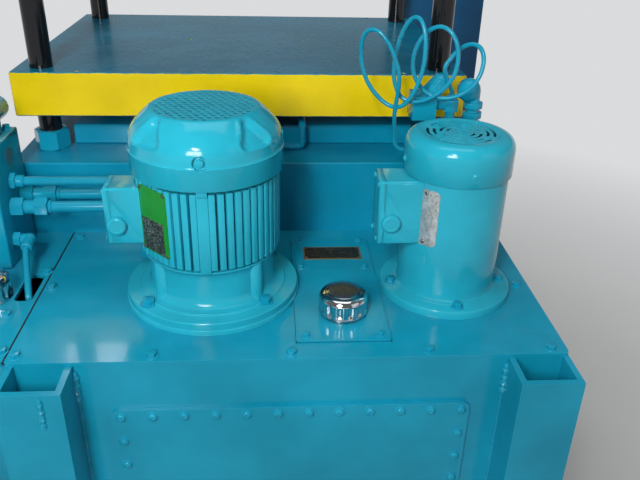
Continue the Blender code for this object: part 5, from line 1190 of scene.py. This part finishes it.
def cut_thread(height, end):
    """Give the stations of a cut thread from a height to its end."""
    pitch = 0.0024
    root = 0.0190
    turns = []
    while height < end:
        turns += [(root, height), (ROD_RADIUS, height + pitch / 2)]
        height += pitch
    return turns


def make_rods_and_nuts():
    """The strain rods with their forged heads and cut threads, and the nuts on the bed and on the head."""
    nut_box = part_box("bed_nut_rear_left")
    tall = nut_box[1][2] - nut_box[0][2]
    nut = hexagon_bar("nut", HEAD_ACROSS, tall, chamfer=0.0010)
    cut_away(nut, round_bar(radius=0.0206, length=0.08, sides=64, height=tall / 2))
    nut.data.transform(Matrix.Rotation(math.pi / 2, 4, "Z"))
    press_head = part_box("press_head")
    head_bottom = press_head[0][2]
    head_top = press_head[1][2]
    for place in CORNERS:
        node = "strain_rod_" + place
        low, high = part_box(node)
        x, y = middle(low, high)[:2]
        stations = lifted(ROD_HEAD, low[2]) + [(ROD_RADIUS, BED_TOP - 0.03), (ROD_RADIUS, BED_TOP + 0.30)]
        stations += lifted(ROD_COLLAR, head_bottom) + [(ROD_RADIUS, head_top + 0.0330)]
        stations += cut_thread(head_top + 0.0340, high[2] - 0.0042)
        stations += lifted(((0.0198, -0.0030), (0.0172, 0.0)), high[2])
        rod = draw_out("rod", stations, (x, y))
        hexagon = on_line(hexagon_bar("forged_head", HEAD_ACROSS, length=0.0325), (x, y, low[2]),
                          (x, y, low[2] + 1))
        keep(smooth(merged([rod, hexagon], "rod"), degrees=30), "rod_" + place, "black_rod",
             body_for(node), [node])
        for level in ("bed", "head"):
            node = level + "_nut_" + place
            low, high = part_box(node)
            twin = copy_of(nut, node)
            twin.location = (*middle(low, high)[:2], low[2])
            keep(smooth(twin, degrees=30), "nut_on_" + level + "_" + place, "turquoise_paint",
                 body_for(node), [node])
    bpy.data.objects.remove(nut, do_unlink=True)


# Fittings at a pipe's end: a nut by the width across its flats or a collar by its radius, where each
# starts and stops from the end of the pipe, and how far a collar's edges are broken
HOSE_UNION = (("nut", 0.0300, 0.0, 0.0220), ("collar", 0.0125, 0.0215, 0.0405, 0.0012),
              ("nut", 0.0300, 0.0400, 0.0620), ("collar", 0.0118, 0.0618, 0.0680, 0.0015))
PIPE_FOOT = (("nut", 0.0300, 0.0, 0.0180), ("collar", 0.0118, 0.0178, 0.0230, 0.0015))
CONDUIT_END = (("nut", 0.0260, 0.0, 0.0100), ("collar", 0.0108, 0.0098, 0.0230))
DRAIN_END = (("nut", 0.0220, 0.0, 0.0125), ("collar", 0.0098, 0.0120, 0.0252, 0.0012))
BED_PIPE_NUT = (("nut", 0.0210, 0.0, 0.0120),)
GAUGE_LOCK = (("nut", 0.0110, -0.0004, 0.0075),)
GAUGE_TOP_LOCK = (("nut", 0.0110, -0.0085, 0.0),)
BLOCK_PLUG = (("nut", 0.0170, 0.0, 0.0085), ("collar", 0.0115, 0.0, 0.0020, 0.0005))
CABLE_GLAND = (("nut", 0.0270, 0.0, 0.0080), ("collar", 0.0105, 0.0075, 0.0230, 0.0015))


def fitted(spot, direction, fittings):
    """Set nuts and collars one after another from a spot along a direction."""
    pieces = []
    for kind, size, near, far, *edge in fittings:
        start = Vector(spot) + Vector(direction) * near
        end = Vector(spot) + Vector(direction) * far
        pieces.append(nut_on(size, start, end) if kind == "nut" else collar_on(size, start, end, *edge))
    return pieces


def keep_pipe(pieces, name, node, finish="turquoise_paint"):
    """Join a pipe and its fittings and keep them in place of the pipe's solid."""
    keep(smooth(merged(pieces, name)), name, finish, FRAME_BODY, [node])


# The manifold's face, and its two pipes: the solid, the piece, its place in depth and where it turns down
MANIFOLD_FACE = -0.3917
HOSES = (("pressure_pipe", "pipe_pressure", -0.3807, -0.140), ("return_pipe", "pipe_return", -0.4356, -0.165))


def make_pipes():
    """The manifold's pipes with their unions, the conduit, the drain tube and the bed's pipe."""
    floor = COVER_TOP + GAP
    hose_height = 0.996
    for node, name, y, x in HOSES:
        begin = (MANIFOLD_FACE, y, hose_height)
        route = bent_route([begin, (x, y, hose_height), (x, y, floor)], bend=0.030, steps=12)
        pieces = [pipe(route, radius=0.0100, fineness=6)] + fitted(begin, ALONG_X, HOSE_UNION)
        keep_pipe(pieces + fitted((x, y, floor), UP, PIPE_FOOT), name, node)
    begin = (MANIFOLD_FACE, -0.420, 1.037)
    turn = (-0.175, -0.420, 1.037)
    box_back = (-0.175, -0.5477, 1.037)
    pieces = [pipe(bent_route([begin, turn, box_back], bend=0.030, steps=12), radius=0.0080, fineness=6)]
    pieces += fitted(begin, ALONG_X, CONDUIT_END) + fitted(box_back, ALONG_Y, CONDUIT_END)
    keep_pipe(pieces, "conduit", "wiring_conduit")
    begin = (MANIFOLD_FACE, -0.452, 0.943)
    corner = (-0.366, -0.452, 0.943)
    foot = (-0.339, -0.572, 0.840)
    route = bent_route([begin, corner, (-0.366, -0.480, 0.936), (-0.339, -0.572, 0.900), foot], bend=0.007)
    ball_radius = 0.0104
    arcs = [math.pi * step / 12 for step in range(1, 12)]
    ball = [(ball_radius * math.sin(arc), -ball_radius * math.cos(arc)) for arc in arcs]
    pieces = [pipe(route, radius=0.0055)] + fitted(begin, ALONG_X, DRAIN_END)
    pieces.append(collar_on(0.0098, (-0.366, -0.4505, 0.9434), (-0.366, -0.4765, 0.9370), edge=0.0012))
    pieces.append(on_line(draw_out("elbow", ball, sides=32), corner, (-0.366, -0.452, 2.0)))
    keep_pipe(pieces, "drain", "drain_tube")
    on_bed = BED_TOP + GAP + 0.0070
    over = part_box("bed_pipe")[1][2] - BED_PIPE_NUT[0][1] / math.sqrt(3)
    foot = (-0.030, -0.366, floor)
    corners = [foot, (-0.030, -0.366, on_bed), (-0.030, -0.270, on_bed), (0.110, -0.270, on_bed),
               (0.110, -0.270, over), (0.110, -0.190, over)]
    pieces = [pipe(bent_route(corners, bend=0.008), radius=0.0070)] + fitted(foot, UP, BED_PIPE_NUT)
    pieces += fitted((0.110, -0.202, over), ALONG_Y, BED_PIPE_NUT)
    keep_pipe(pieces, "pipe_over_bed", "bed_pipe", "bed_paint")


# The four turns of the gauge tube: each one's lean in degrees, its width and height as shares of the
# full turn's radius, and its place as shares of the whole row's length and rise
TURN_RADIUS = 0.072
TURN_LEANS = (-16, 6, 8, 25)
TURN_WIDTHS = (0.36, 0.28, 0.45, 0.32)
TURN_HEIGHTS = (0.90, 1.0, 0.80, 0.64)
TURN_PLACES = (0.0, 0.34, 0.65, 1.0)
TURN_RISES = (-0.03, 0.04, 0.04, -0.05)
ROW_START = (0.228, -0.430, 1.239)
ROW_LENGTH = 0.136
ROW_RISE = 0.144


def gauge_share(shares, index, blend):
    """Give a turn's share, blended towards the next turn's."""
    after = min(index + 1, len(shares) - 1)
    return shares[index] + (shares[after] - shares[index]) * blend


def gauge_point(degrees):
    """Give a point on the turns of the gauge tube."""
    index = min(max(int(degrees // 360), 0), 3)
    degrees -= index * 360
    blend = eased(max(degrees - 180, 0) / 180) if index < 3 else 0
    angle = math.radians(degrees)
    lean = math.radians(gauge_share(TURN_LEANS, index, blend))
    wide = TURN_RADIUS * gauge_share(TURN_WIDTHS, index, blend) * math.cos(angle)
    high = TURN_RADIUS * gauge_share(TURN_HEIGHTS, index, blend) * math.sin(angle)
    x = ROW_START[0] + ROW_LENGTH * gauge_share(TURN_PLACES, index, blend)
    z = ROW_START[2] + ROW_RISE * gauge_share(TURN_RISES, index, blend)
    return Vector((x + wide * math.cos(lean) + high * math.sin(lean), ROW_START[1] - 0.018 * math.cos(angle),
                   z - wide * math.sin(lean) + high * math.cos(lean)))


def through(stations, steps):
    """Give a smooth curve through its stations."""
    line = [Vector(station) for station in stations]
    line = [line[0] * 2 - line[1]] + line + [line[-1] * 2 - line[-2]]
    points = []
    for a, b, c, d in zip(line, line[1:], line[2:], line[3:]):
        for step in range(steps):
            t = step / steps
            points.append((b * 2 + (c - a) * t + (a * 2 - b * 5 + c * 4 - d) * t ** 2
                           + (b * 3 - a - c * 3 + d) * t ** 3) / 2)
    return points + [line[-2]]


def make_gauge_tube():
    """The thin tube wound in four leaning turns between the pressure switch and the relief valve."""
    lower_x = 0.2904
    upper = (0.359, -0.396, 1.1766)
    first_degree = -20
    last_degree = 3 * 360 + 205
    turns = [gauge_point(degrees) for degrees in range(first_degree, last_degree + 1, 27)]
    first = turns[0]
    rise = ((lower_x + first.x - 0.034) / 2, (-0.412 + first.y) / 2, (1.100 + first.z) / 2)
    lower = (lower_x, -0.412, 1.092)
    begin = [lower, (lower_x - 0.010, -0.412, 1.0905), (lower_x - 0.021, -0.413, 1.0945),
             (lower_x - 0.0275, -0.414, 1.1060), (lower_x - 0.0290, -0.416, 1.1220), rise]
    end = [(upper[0], upper[1], upper[2] + 0.012), upper]
    pieces = [pipe(through(begin + turns + end, steps=5), radius=0.0036, fineness=4)]
    pieces += fitted(lower, AGAINST_X, GAUGE_LOCK) + fitted(upper, DOWN, GAUGE_TOP_LOCK)
    keep_pipe(pieces, "tube_in_turns", "gauge_tube")


# Fittings whose solids are right in form: the solid, the piece's name, its broken edge and its finish
ROUND_COPIES = (
    ("riser_pipe", "riser", 0.0007, "turquoise_paint"),
    ("relief_valve", "relief_valve_body", 0.0009, "turquoise_paint"),
    ("pressure_switch", "switch_on_stem", 0.0009, "turquoise_paint"),
    ("directional_valve", "solenoid_valve", 0.0009, "turquoise_paint"),
    ("manifold_block", "drilled_manifold", 0.0008, "turquoise_paint"),
    ("cylinder_barrel", "barrel_of_cylinder", 0.0012, "turquoise_paint"),
    ("gland_ring", "gland", 0.0005, "ground_steel"),
    ("ram", "ram_bar", 0.0005, "ground_steel"),
    ("filler_neck", "neck_of_filler", 0.0003, "ground_steel"),
    ("main_pump", "pump_main", 0.0012, "raw_iron"),
    ("aux_pump", "pump_second", 0.0010, "raw_iron"),
    ("main_rotor", "rotor_main", 0.0004, "black_plastic"),
    ("aux_rotor", "rotor_second", 0.0004, "black_plastic"),
    ("door_handle", "handle_on_door", 0.0009, "black_plastic"),
)


def make_round_copies():
    """The fittings whose solids are right in form: merged, their edges broken and shaded smooth."""
    for node, name, width, finish in ROUND_COPIES:
        keep(smooth(soften(merged_copy(node), width, degrees=38)), name, finish, body_for(node), [node])


def rounded_sheet(wide, tall, corner, segments):
    """Add a flat sheet with round corners and leave its mesh open."""
    sheet = flat_sheet(wide, tall)
    open_mesh(sheet)
    bpy.ops.mesh.bevel(offset=corner, offset_type="OFFSET", segments=segments, affect="VERTICES")
    return sheet


def thin_plate(name, size, corner, finish, matrix):
    """A thin plate with round corners, stood in its place by a matrix."""
    sheet = rounded_sheet(size[0], size[1], corner, segments=5)
    raise_and_close(size[2])
    sheet.data.transform(matrix)
    return keep(sheet, name, finish)


def facing(centre, direction, up=UP):
    """Give the matrix of a plate at a place that faces a direction."""
    out = Vector(direction).normalized()
    side = Vector(up).cross(out).normalized()
    turn = Matrix((side, out.cross(side), out)).transposed().to_4x4()
    return Matrix.Translation(centre) @ turn


def make_label():
    """The bare label of the second motor, cut into strips and wrapped round the barrel."""
    label = rounded_sheet(LABEL_WIDE, LABEL_TALL, LABEL_CORNER, segments=6)
    for number in range(1, LABEL_STRIPS):
        bpy.ops.mesh.select_all(action="SELECT")
        across = LABEL_WIDE * (number / LABEL_STRIPS - 0.5)
        bpy.ops.mesh.bisect(plane_co=(across, 0, 0), plane_no=ALONG_X)
    raise_and_close(LABEL_THICK)
    for vertex in label.data.vertices:
        radius = LABEL_RADIUS + vertex.co.z
        turned = math.radians(LABEL_DEGREES) + vertex.co.x / LABEL_RADIUS
        vertex.co = (AUX_AXIS[0] + radius * math.cos(turned), AUX_AXIS[1] + radius * math.sin(turned),
                     LABEL_HEIGHT + vertex.co.y)
    keep(smooth(close_up(label), degrees=30), "plate_second_motor", "pale_plate")


def make_plates():
    """The bare plates of the motors and of the filler, and the pins that hold them."""
    out = heading(PLATE_DEGREES)
    side = Vector((-out.y, out.x, 0.0))
    axis = Vector((*MAIN_AXIS, PLATE_HEIGHT))
    on_fins = axis + out * 0.1039
    inset = axis + out * PLATE_FACE - side * 0.0030 - Vector(UP) * 0.0240
    beside = Vector((0.1585, -0.4420, COVER_TOP + GAP + 0.0030))
    field = beside + Vector(UP) * 0.0009
    for name, size, corner, finish, stand in (
            ("plate_main_motor", (0.0640, 0.1040, 0.0012), 0.0030, "green_plate", facing(on_fins, out)),
            ("plate_main_inset", (0.0500, 0.0520, 0.0005), 0.0015, "etched_plate", facing(inset, out)),
            ("plate_filler", (0.1040, 0.0450, 0.0010), 0.0015, "bronze_plate", facing(beside, UP, ALONG_Y)),
            ("plate_filler_field", (0.0980, 0.0390, 0.0004), 0.0010, "dark_plate",
             facing(field, UP, ALONG_Y))):
        thin_plate(name, size, corner, finish, stand)
    make_label()
    pins = []
    for across in (-0.027, 0.027):
        for up in (-0.048, 0.048):
            pins.append((axis + Vector(UP) * up + out * PLATE_FACE + side * across, out, 0))
    for across in (-0.047, 0.047):
        for along in (-0.018, 0.018):
            pins.append((field + Vector((across, along, 0.0001)), UP, 0))
    radial = heading(LABEL_DEGREES)
    for up in (-0.0400, 0.0400):
        pins.append((Vector((*AUX_AXIS, LABEL_HEIGHT + up)) + radial * 0.0808, radial, 0))
    spread(button_screw(radius=0.0021, height=0.0013), pins, "plate_pins", "screw_steel")


# Places on the manifold's face where the paint is off: across, up, half width, half height, turn of its edge
BARE_PATCHES = ((-0.4060, 1.0760, 0.0160, 0.0170, 0.5), (-0.3980, 1.0320, 0.0100, 0.0085, 2.1))


def make_manifold_trim():
    """The manifold's plug and screws, and two places where its paint has come off down to the steel."""
    low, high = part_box("manifold_block")
    plug = fitted((high[0], -0.4400, 0.9320), ALONG_X, BLOCK_PLUG)
    keep(smooth(merged(plug, "manifold_plug")), "manifold_plug", "turquoise_paint")
    patches = []
    for y, z, wide, tall, turn in BARE_PATCHES:
        patch = round_bar(radius=1.0, length=1.0, sides=28)
        for vertex in patch.data.vertices:
            angle = math.atan2(vertex.co.y, vertex.co.x)
            ragged = 1.0 + 0.16 * math.sin(3 * angle + turn) + 0.10 * math.sin(7 * angle + turn * 2)
            vertex.co.x *= ragged
            vertex.co.y *= ragged
        patch.scale = (wide, tall, 0.0002)
        rest_in_place(patch)
        patch.data.transform(facing((high[0] + 0.0001, y, z), ALONG_X))
        patches.append(patch)
    keep(merged(patches, "bare_patches"), "bare_patches", "bare_patch")
    spots = []
    for x in (low[0] + 0.014, high[0] - 0.014):
        for y in (low[1] + 0.012, high[1] - 0.012):
            spots.append(((x, y, high[2]), UP, 20))
    spread(cap_screw(across=0.0120, height=0.0060, washer=0.0085), spots, "manifold_screws",
           "turquoise_paint")


def make_cabinet_trim():
    """The cabinet's cable glands."""
    glands = []
    for x in (0.455, 0.505, 0.555):
        glands += fitted((x, 0.4400, 0.7600), DOWN, CABLE_GLAND)
    keep(smooth(merged(glands, "cable_glands")), "cable_glands", "black_plastic")


SOCKET_SCREW = ((0.0058, 0.0), (0.0065, 0.0008), (0.0065, 0.0062), (0.0060, 0.0070), (0.0034, 0.0070),
                (0.0032, 0.0038), (0.0, 0.0036))


def make_press_screws():
    """The socket screws of the cylinder's gland."""
    low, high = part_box("gland_ring")
    centre = Vector((*middle(low, high)[:2], high[2]))
    screws = 12
    bolt_circle = 0.1145
    turns = [360.0 * (index + 0.5) / screws for index in range(screws)]
    spots = [(centre + heading(turn) * bolt_circle, UP, 0) for turn in turns]
    spread(draw_out("socket_screw", SOCKET_SCREW, sides=24), spots, "gland_screws", "screw_steel")


# The screws of the tank's cover and of its side cover, and how far each is turned
COVER_SCREWS = ((-0.310, -0.733), (-0.120, -0.737), (0.078, -0.737), (0.278, -0.736), (0.459, -0.737),
                (0.464, -0.556), (-0.310, -0.546), (-0.307, -0.365), (0.464, -0.372),
                (-0.332, -0.722), (-0.356, -0.626), (-0.331, -0.494), (-0.608, -0.733), (-0.608, -0.546),
                (-0.608, -0.365), (-0.470, -0.733))
SCREW_TURNS = (8, 37, 20, 51, 14, 29, 43, 3, 25)


def make_cover_screws():
    """The screws of the tank's cover, the side cover, the access plate and the clean-out cover."""
    spots = [((x, y, COVER_TOP), UP, SCREW_TURNS[index % len(SCREW_TURNS)])
             for index, (x, y) in enumerate(COVER_SCREWS)]
    spread(cap_screw(across=0.0127, height=0.0056, washer=0.0098), spots, "cover_screws", "turquoise_paint")
    plate_top = COVER_TOP + GAP + 0.0030
    places = [(x, y, plate_top) for x in (0.1006, 0.2115) for y in (-0.392, -0.494, -0.699)]
    spots = [(place, UP, 17 * index) for index, place in enumerate(places)]
    spread(cap_screw(across=0.0095, height=0.0042, washer=0.0078), spots, "access_screws", "turquoise_paint")
    low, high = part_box("cleanout_cover")
    left = low[0] + 0.0135
    right = high[0] - 0.0135
    upper = high[2] - 0.0117
    lower = low[2] + 0.0117
    gaps_across = 11
    gaps_down = 7
    places = []
    for index in range(gaps_across + 1):
        x = left + (right - left) * index / gaps_across
        places += [(x, upper), (x, lower)]
    for index in range(1, gaps_down):
        z = upper - (upper - lower) * index / gaps_down
        places += [(left, z), (right, z)]
    spots = [((x, low[1], z), BACK, 9 * index) for index, (x, z) in enumerate(places)]
    spread(button_screw(radius=0.0072, height=0.0056), spots, "cleanout_screws", "turquoise_paint")


def weld_bead(start, end, radius):
    """A hand-laid bead along a seam, swelling at each ripple."""
    length = (Vector(end) - Vector(start)).length
    ripple = 0.0044
    end_share = 0.5
    unevenness = 0.16
    stations = [(radius * end_share, 0.0)]
    height = 0.0
    index = 0
    while height < length - 0.004:
        swell = 1.0 + unevenness * math.sin(index * 2.3)
        stations += [(radius * 1.12 * swell, height + 0.0015), (radius * 0.86, height + 0.0040)]
        height += ripple
        index += 1
    stations.append((radius * end_share, length))
    return on_line(draw_out("bead", stations, sides=10), start, end)


def make_welds():
    """The weld beads that hold the channels to the tank, heavier near their tops, and one repair."""
    beads = []
    foot = 0.0200
    from_top = 0.010
    wall_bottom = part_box("tank_shell")[0][2] + 0.006
    for node in ("channel_left", "channel_right"):
        low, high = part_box(node)
        toe = high[1] - foot
        end = high[2] - from_top
        for side in (low[0] + foot - 0.0008, high[0] - foot + 0.0008):
            beads.append(weld_bead((side, toe, wall_bottom), (side, toe, end), radius=0.0022))
            beads.append(weld_bead((side, toe - 0.001, high[2] - 0.062), (side, toe - 0.001, end),
                                   radius=0.0054))
    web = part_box("channel_left")[0][1] + foot
    beads.append(weld_bead((-0.2575, web, 0.8380), (-0.2575, web, 0.8880), radius=0.0042))
    keep(smooth(merged(beads, "weld_beads"), degrees=50), "weld_beads", "weld_paint")


def make_seam_shadows():
    """Dark strips laid in the seam of the tank's cover and round the access plate: painted shade where the
    seams are only gaps.
    """
    seam = facing((-0.3230, -0.5450, COVER_TOP - 0.0017), UP, ALONG_Y)
    thin_plate("cover_seam_shadow_strip", (0.0026, 0.4040, 0.0020), 0.0003, "dark_seam_shade", seam)
    low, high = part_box("access_plate")
    x, y = middle(low, high)[:2]
    wide = 0.0020
    thick = 0.0008
    across = (high[0] - low[0] + wide, wide, thick)
    along = (wide, high[1] - low[1] + wide, thick)
    strips = []
    for size, place in ((along, (low[0], y)), (along, (high[0], y)),
                        (across, (x, low[1])), (across, (x, high[1]))):
        stand = facing((*place, COVER_TOP), UP, ALONG_Y)
        strips.append(thin_plate("strip", size, 0.0002, "teal_seam_shade", stand))
    keep(merged(strips, "access_seam_shadow_strips"), "access_seam_shadow_strips", "teal_seam_shade")


# The whole press, and the setting round it


def make_everything():
    """Model every piece in turn."""
    make_main_fan_cover()
    make_finned_barrel()
    make_end_shield()
    make_smooth_barrel()
    make_second_fan_cover()
    make_boxes()
    make_cap("cap_of_filler", "breather_cap", FILLER)
    make_cap("cap_of_side_tank", "side_breather", SIDE_CAN)
    make_rods_and_nuts()
    make_pipes()
    make_gauge_tube()
    make_round_copies()
    make_plates()
    make_manifold_trim()
    make_cabinet_trim()
    make_press_screws()
    make_cover_screws()
    make_welds()
    make_seam_shadows()


def aim_camera():
    """Stand the camera where the photograph was taken from."""
    data = bpy.data.cameras.new("photo_view")
    data.sensor_width = 36.0
    data.sensor_fit = "HORIZONTAL"
    data.lens = 39.43
    data.clip_start = 0.05
    data.clip_end = 100.0
    camera = bpy.data.objects.new("photo_view", data)
    ahead = Vector((0.06525, 0.88643, -0.45823)).normalized()
    right = Vector((0.99783, -0.06185, 0.02244))
    right = (right - ahead * right.dot(ahead)).normalized()
    turn = Matrix((right, right.cross(ahead), -ahead)).transposed().to_4x4()
    turn.translation = (0.0546, -1.556, 1.5064)
    camera.matrix_world = turn
    bpy.context.scene.collection.objects.link(camera)
    bpy.context.scene.camera = camera


def hang_light(name, place, aim, size, power, colour=(1.0, 1.0, 1.0)):
    """Hang one soft light."""
    data = bpy.data.lights.new(name, "AREA")
    data.shape = "RECTANGLE"
    data.size = size[0]
    data.size_y = size[1]
    data.energy = power
    data.color = colour
    lamp = bpy.data.objects.new(name, data)
    lamp.location = place
    lamp.rotation_euler = (Vector(aim) - Vector(place)).to_track_quat("-Z", "Y").to_euler()
    bpy.context.scene.collection.objects.link(lamp)


def seen_rays(tree):
    """Give a mask of the rays that show a thing: straight, through glass or mirrored."""
    path = add(tree, "ShaderNodeLightPath")
    seen = math_node(tree, "MAXIMUM", path.outputs["Is Camera Ray"], path.outputs["Is Transmission Ray"])
    return math_node(tree, "MAXIMUM", seen, path.outputs["Is Glossy Ray"])


def blended(tree, factor, first, second, target):
    """Blend two shaders and feed them to the output."""
    blend = add(tree, "ShaderNodeMixShader")
    for index, socket in enumerate((factor, first.outputs[0], second.outputs[0])):
        tree.links.new(socket, blend.inputs[index])
    tree.links.new(blend.outputs[0], target.inputs["Surface"])


FAR_GREY = (0.70, 0.71, 0.72)


def set_stage():
    """A pale floor that grows paler away from the press."""
    let_go()
    bpy.ops.mesh.primitive_plane_add(size=60.0, location=(0.0, 0.0, -0.0006))
    floor = rest_in_place(bpy.context.object)
    floor.name = "floor"
    material, tree, shader, coords = start_finish("pale_floor")
    cloudy = span(tree, noise(tree, coords, scale=1.5), low=0.3, high=0.7)
    tree.links.new(mix(tree, cloudy, (0.46, 0.46, 0.45), (0.50, 0.50, 0.49)), shader.inputs["Base Color"])
    shader.inputs["Roughness"].default_value = 0.7
    away = add(tree, "ShaderNodeVectorMath", operation="LENGTH")
    tree.links.new(coords, away.inputs[0])
    far = times(tree, span(tree, away.outputs["Value"], low=0.7, high=3.2), seen_rays(tree))
    glow = add(tree, "ShaderNodeEmission")
    glow.inputs["Color"].default_value = (*FAR_GREY, 1.0)
    blended(tree, far, shader, glow, tree.nodes["Material Output"])
    floor.data.materials.append(material)


def set_surround():
    """A surround that is pale near the floor, dims overhead and gives a faint even light."""
    bpy.context.scene.view_settings.view_transform = "Standard"
    world = bpy.data.worlds.new("pale_surround")
    world.use_nodes = True
    bpy.context.scene.world = world
    tree = world.node_tree
    tree.nodes.clear()
    height = height_of(tree, add(tree, "ShaderNodeTexCoord").outputs["Generated"])
    seen = add(tree, "ShaderNodeBackground")
    overhead = (0.15, 0.16, 0.17)
    rise = span(tree, height, low=0.08, high=0.18)
    tree.links.new(mix(tree, rise, FAR_GREY, overhead), seen.inputs["Color"])
    lit = add(tree, "ShaderNodeBackground")
    lit.inputs["Color"].default_value = (0.95, 0.97, 1.0, 1.0)
    lit.inputs["Strength"].default_value = 0.18
    blended(tree, seen_rays(tree), lit, seen, add(tree, "ShaderNodeOutputWorld"))


def hang_lights():
    """Two lights near the camera, a weak fill on its right, one overhead and one behind the press."""
    hang_light("spark", (-0.45, -2.3, 2.5), aim=(0.0, -0.5, 1.0), size=(0.20, 0.14), power=18.0)
    hang_light("key", (-0.35, -1.9, 1.7), aim=(0.0, -0.4, 1.9), size=(0.5, 0.5), power=18.5,
               colour=(1.0, 0.985, 0.96))
    hang_light("fill", (2.6, -2.4, 2.4), aim=(0.0, -0.4, 0.9), size=(2.0, 1.6), power=7.0,
               colour=(0.96, 0.98, 1.0))
    hang_light("over", (0.0, -0.6, 4.4), aim=(0.0, -0.3, 0.9), size=(2.6, 1.6), power=25.0)
    hang_light("back", (-0.5, 2.8, 3.9), aim=(0.0, 0.0, 0.9), size=(2.0, 1.6), power=64.0)


aim_camera()
set_stage()
set_surround()
hang_lights()
dress_nodes()
make_everything()
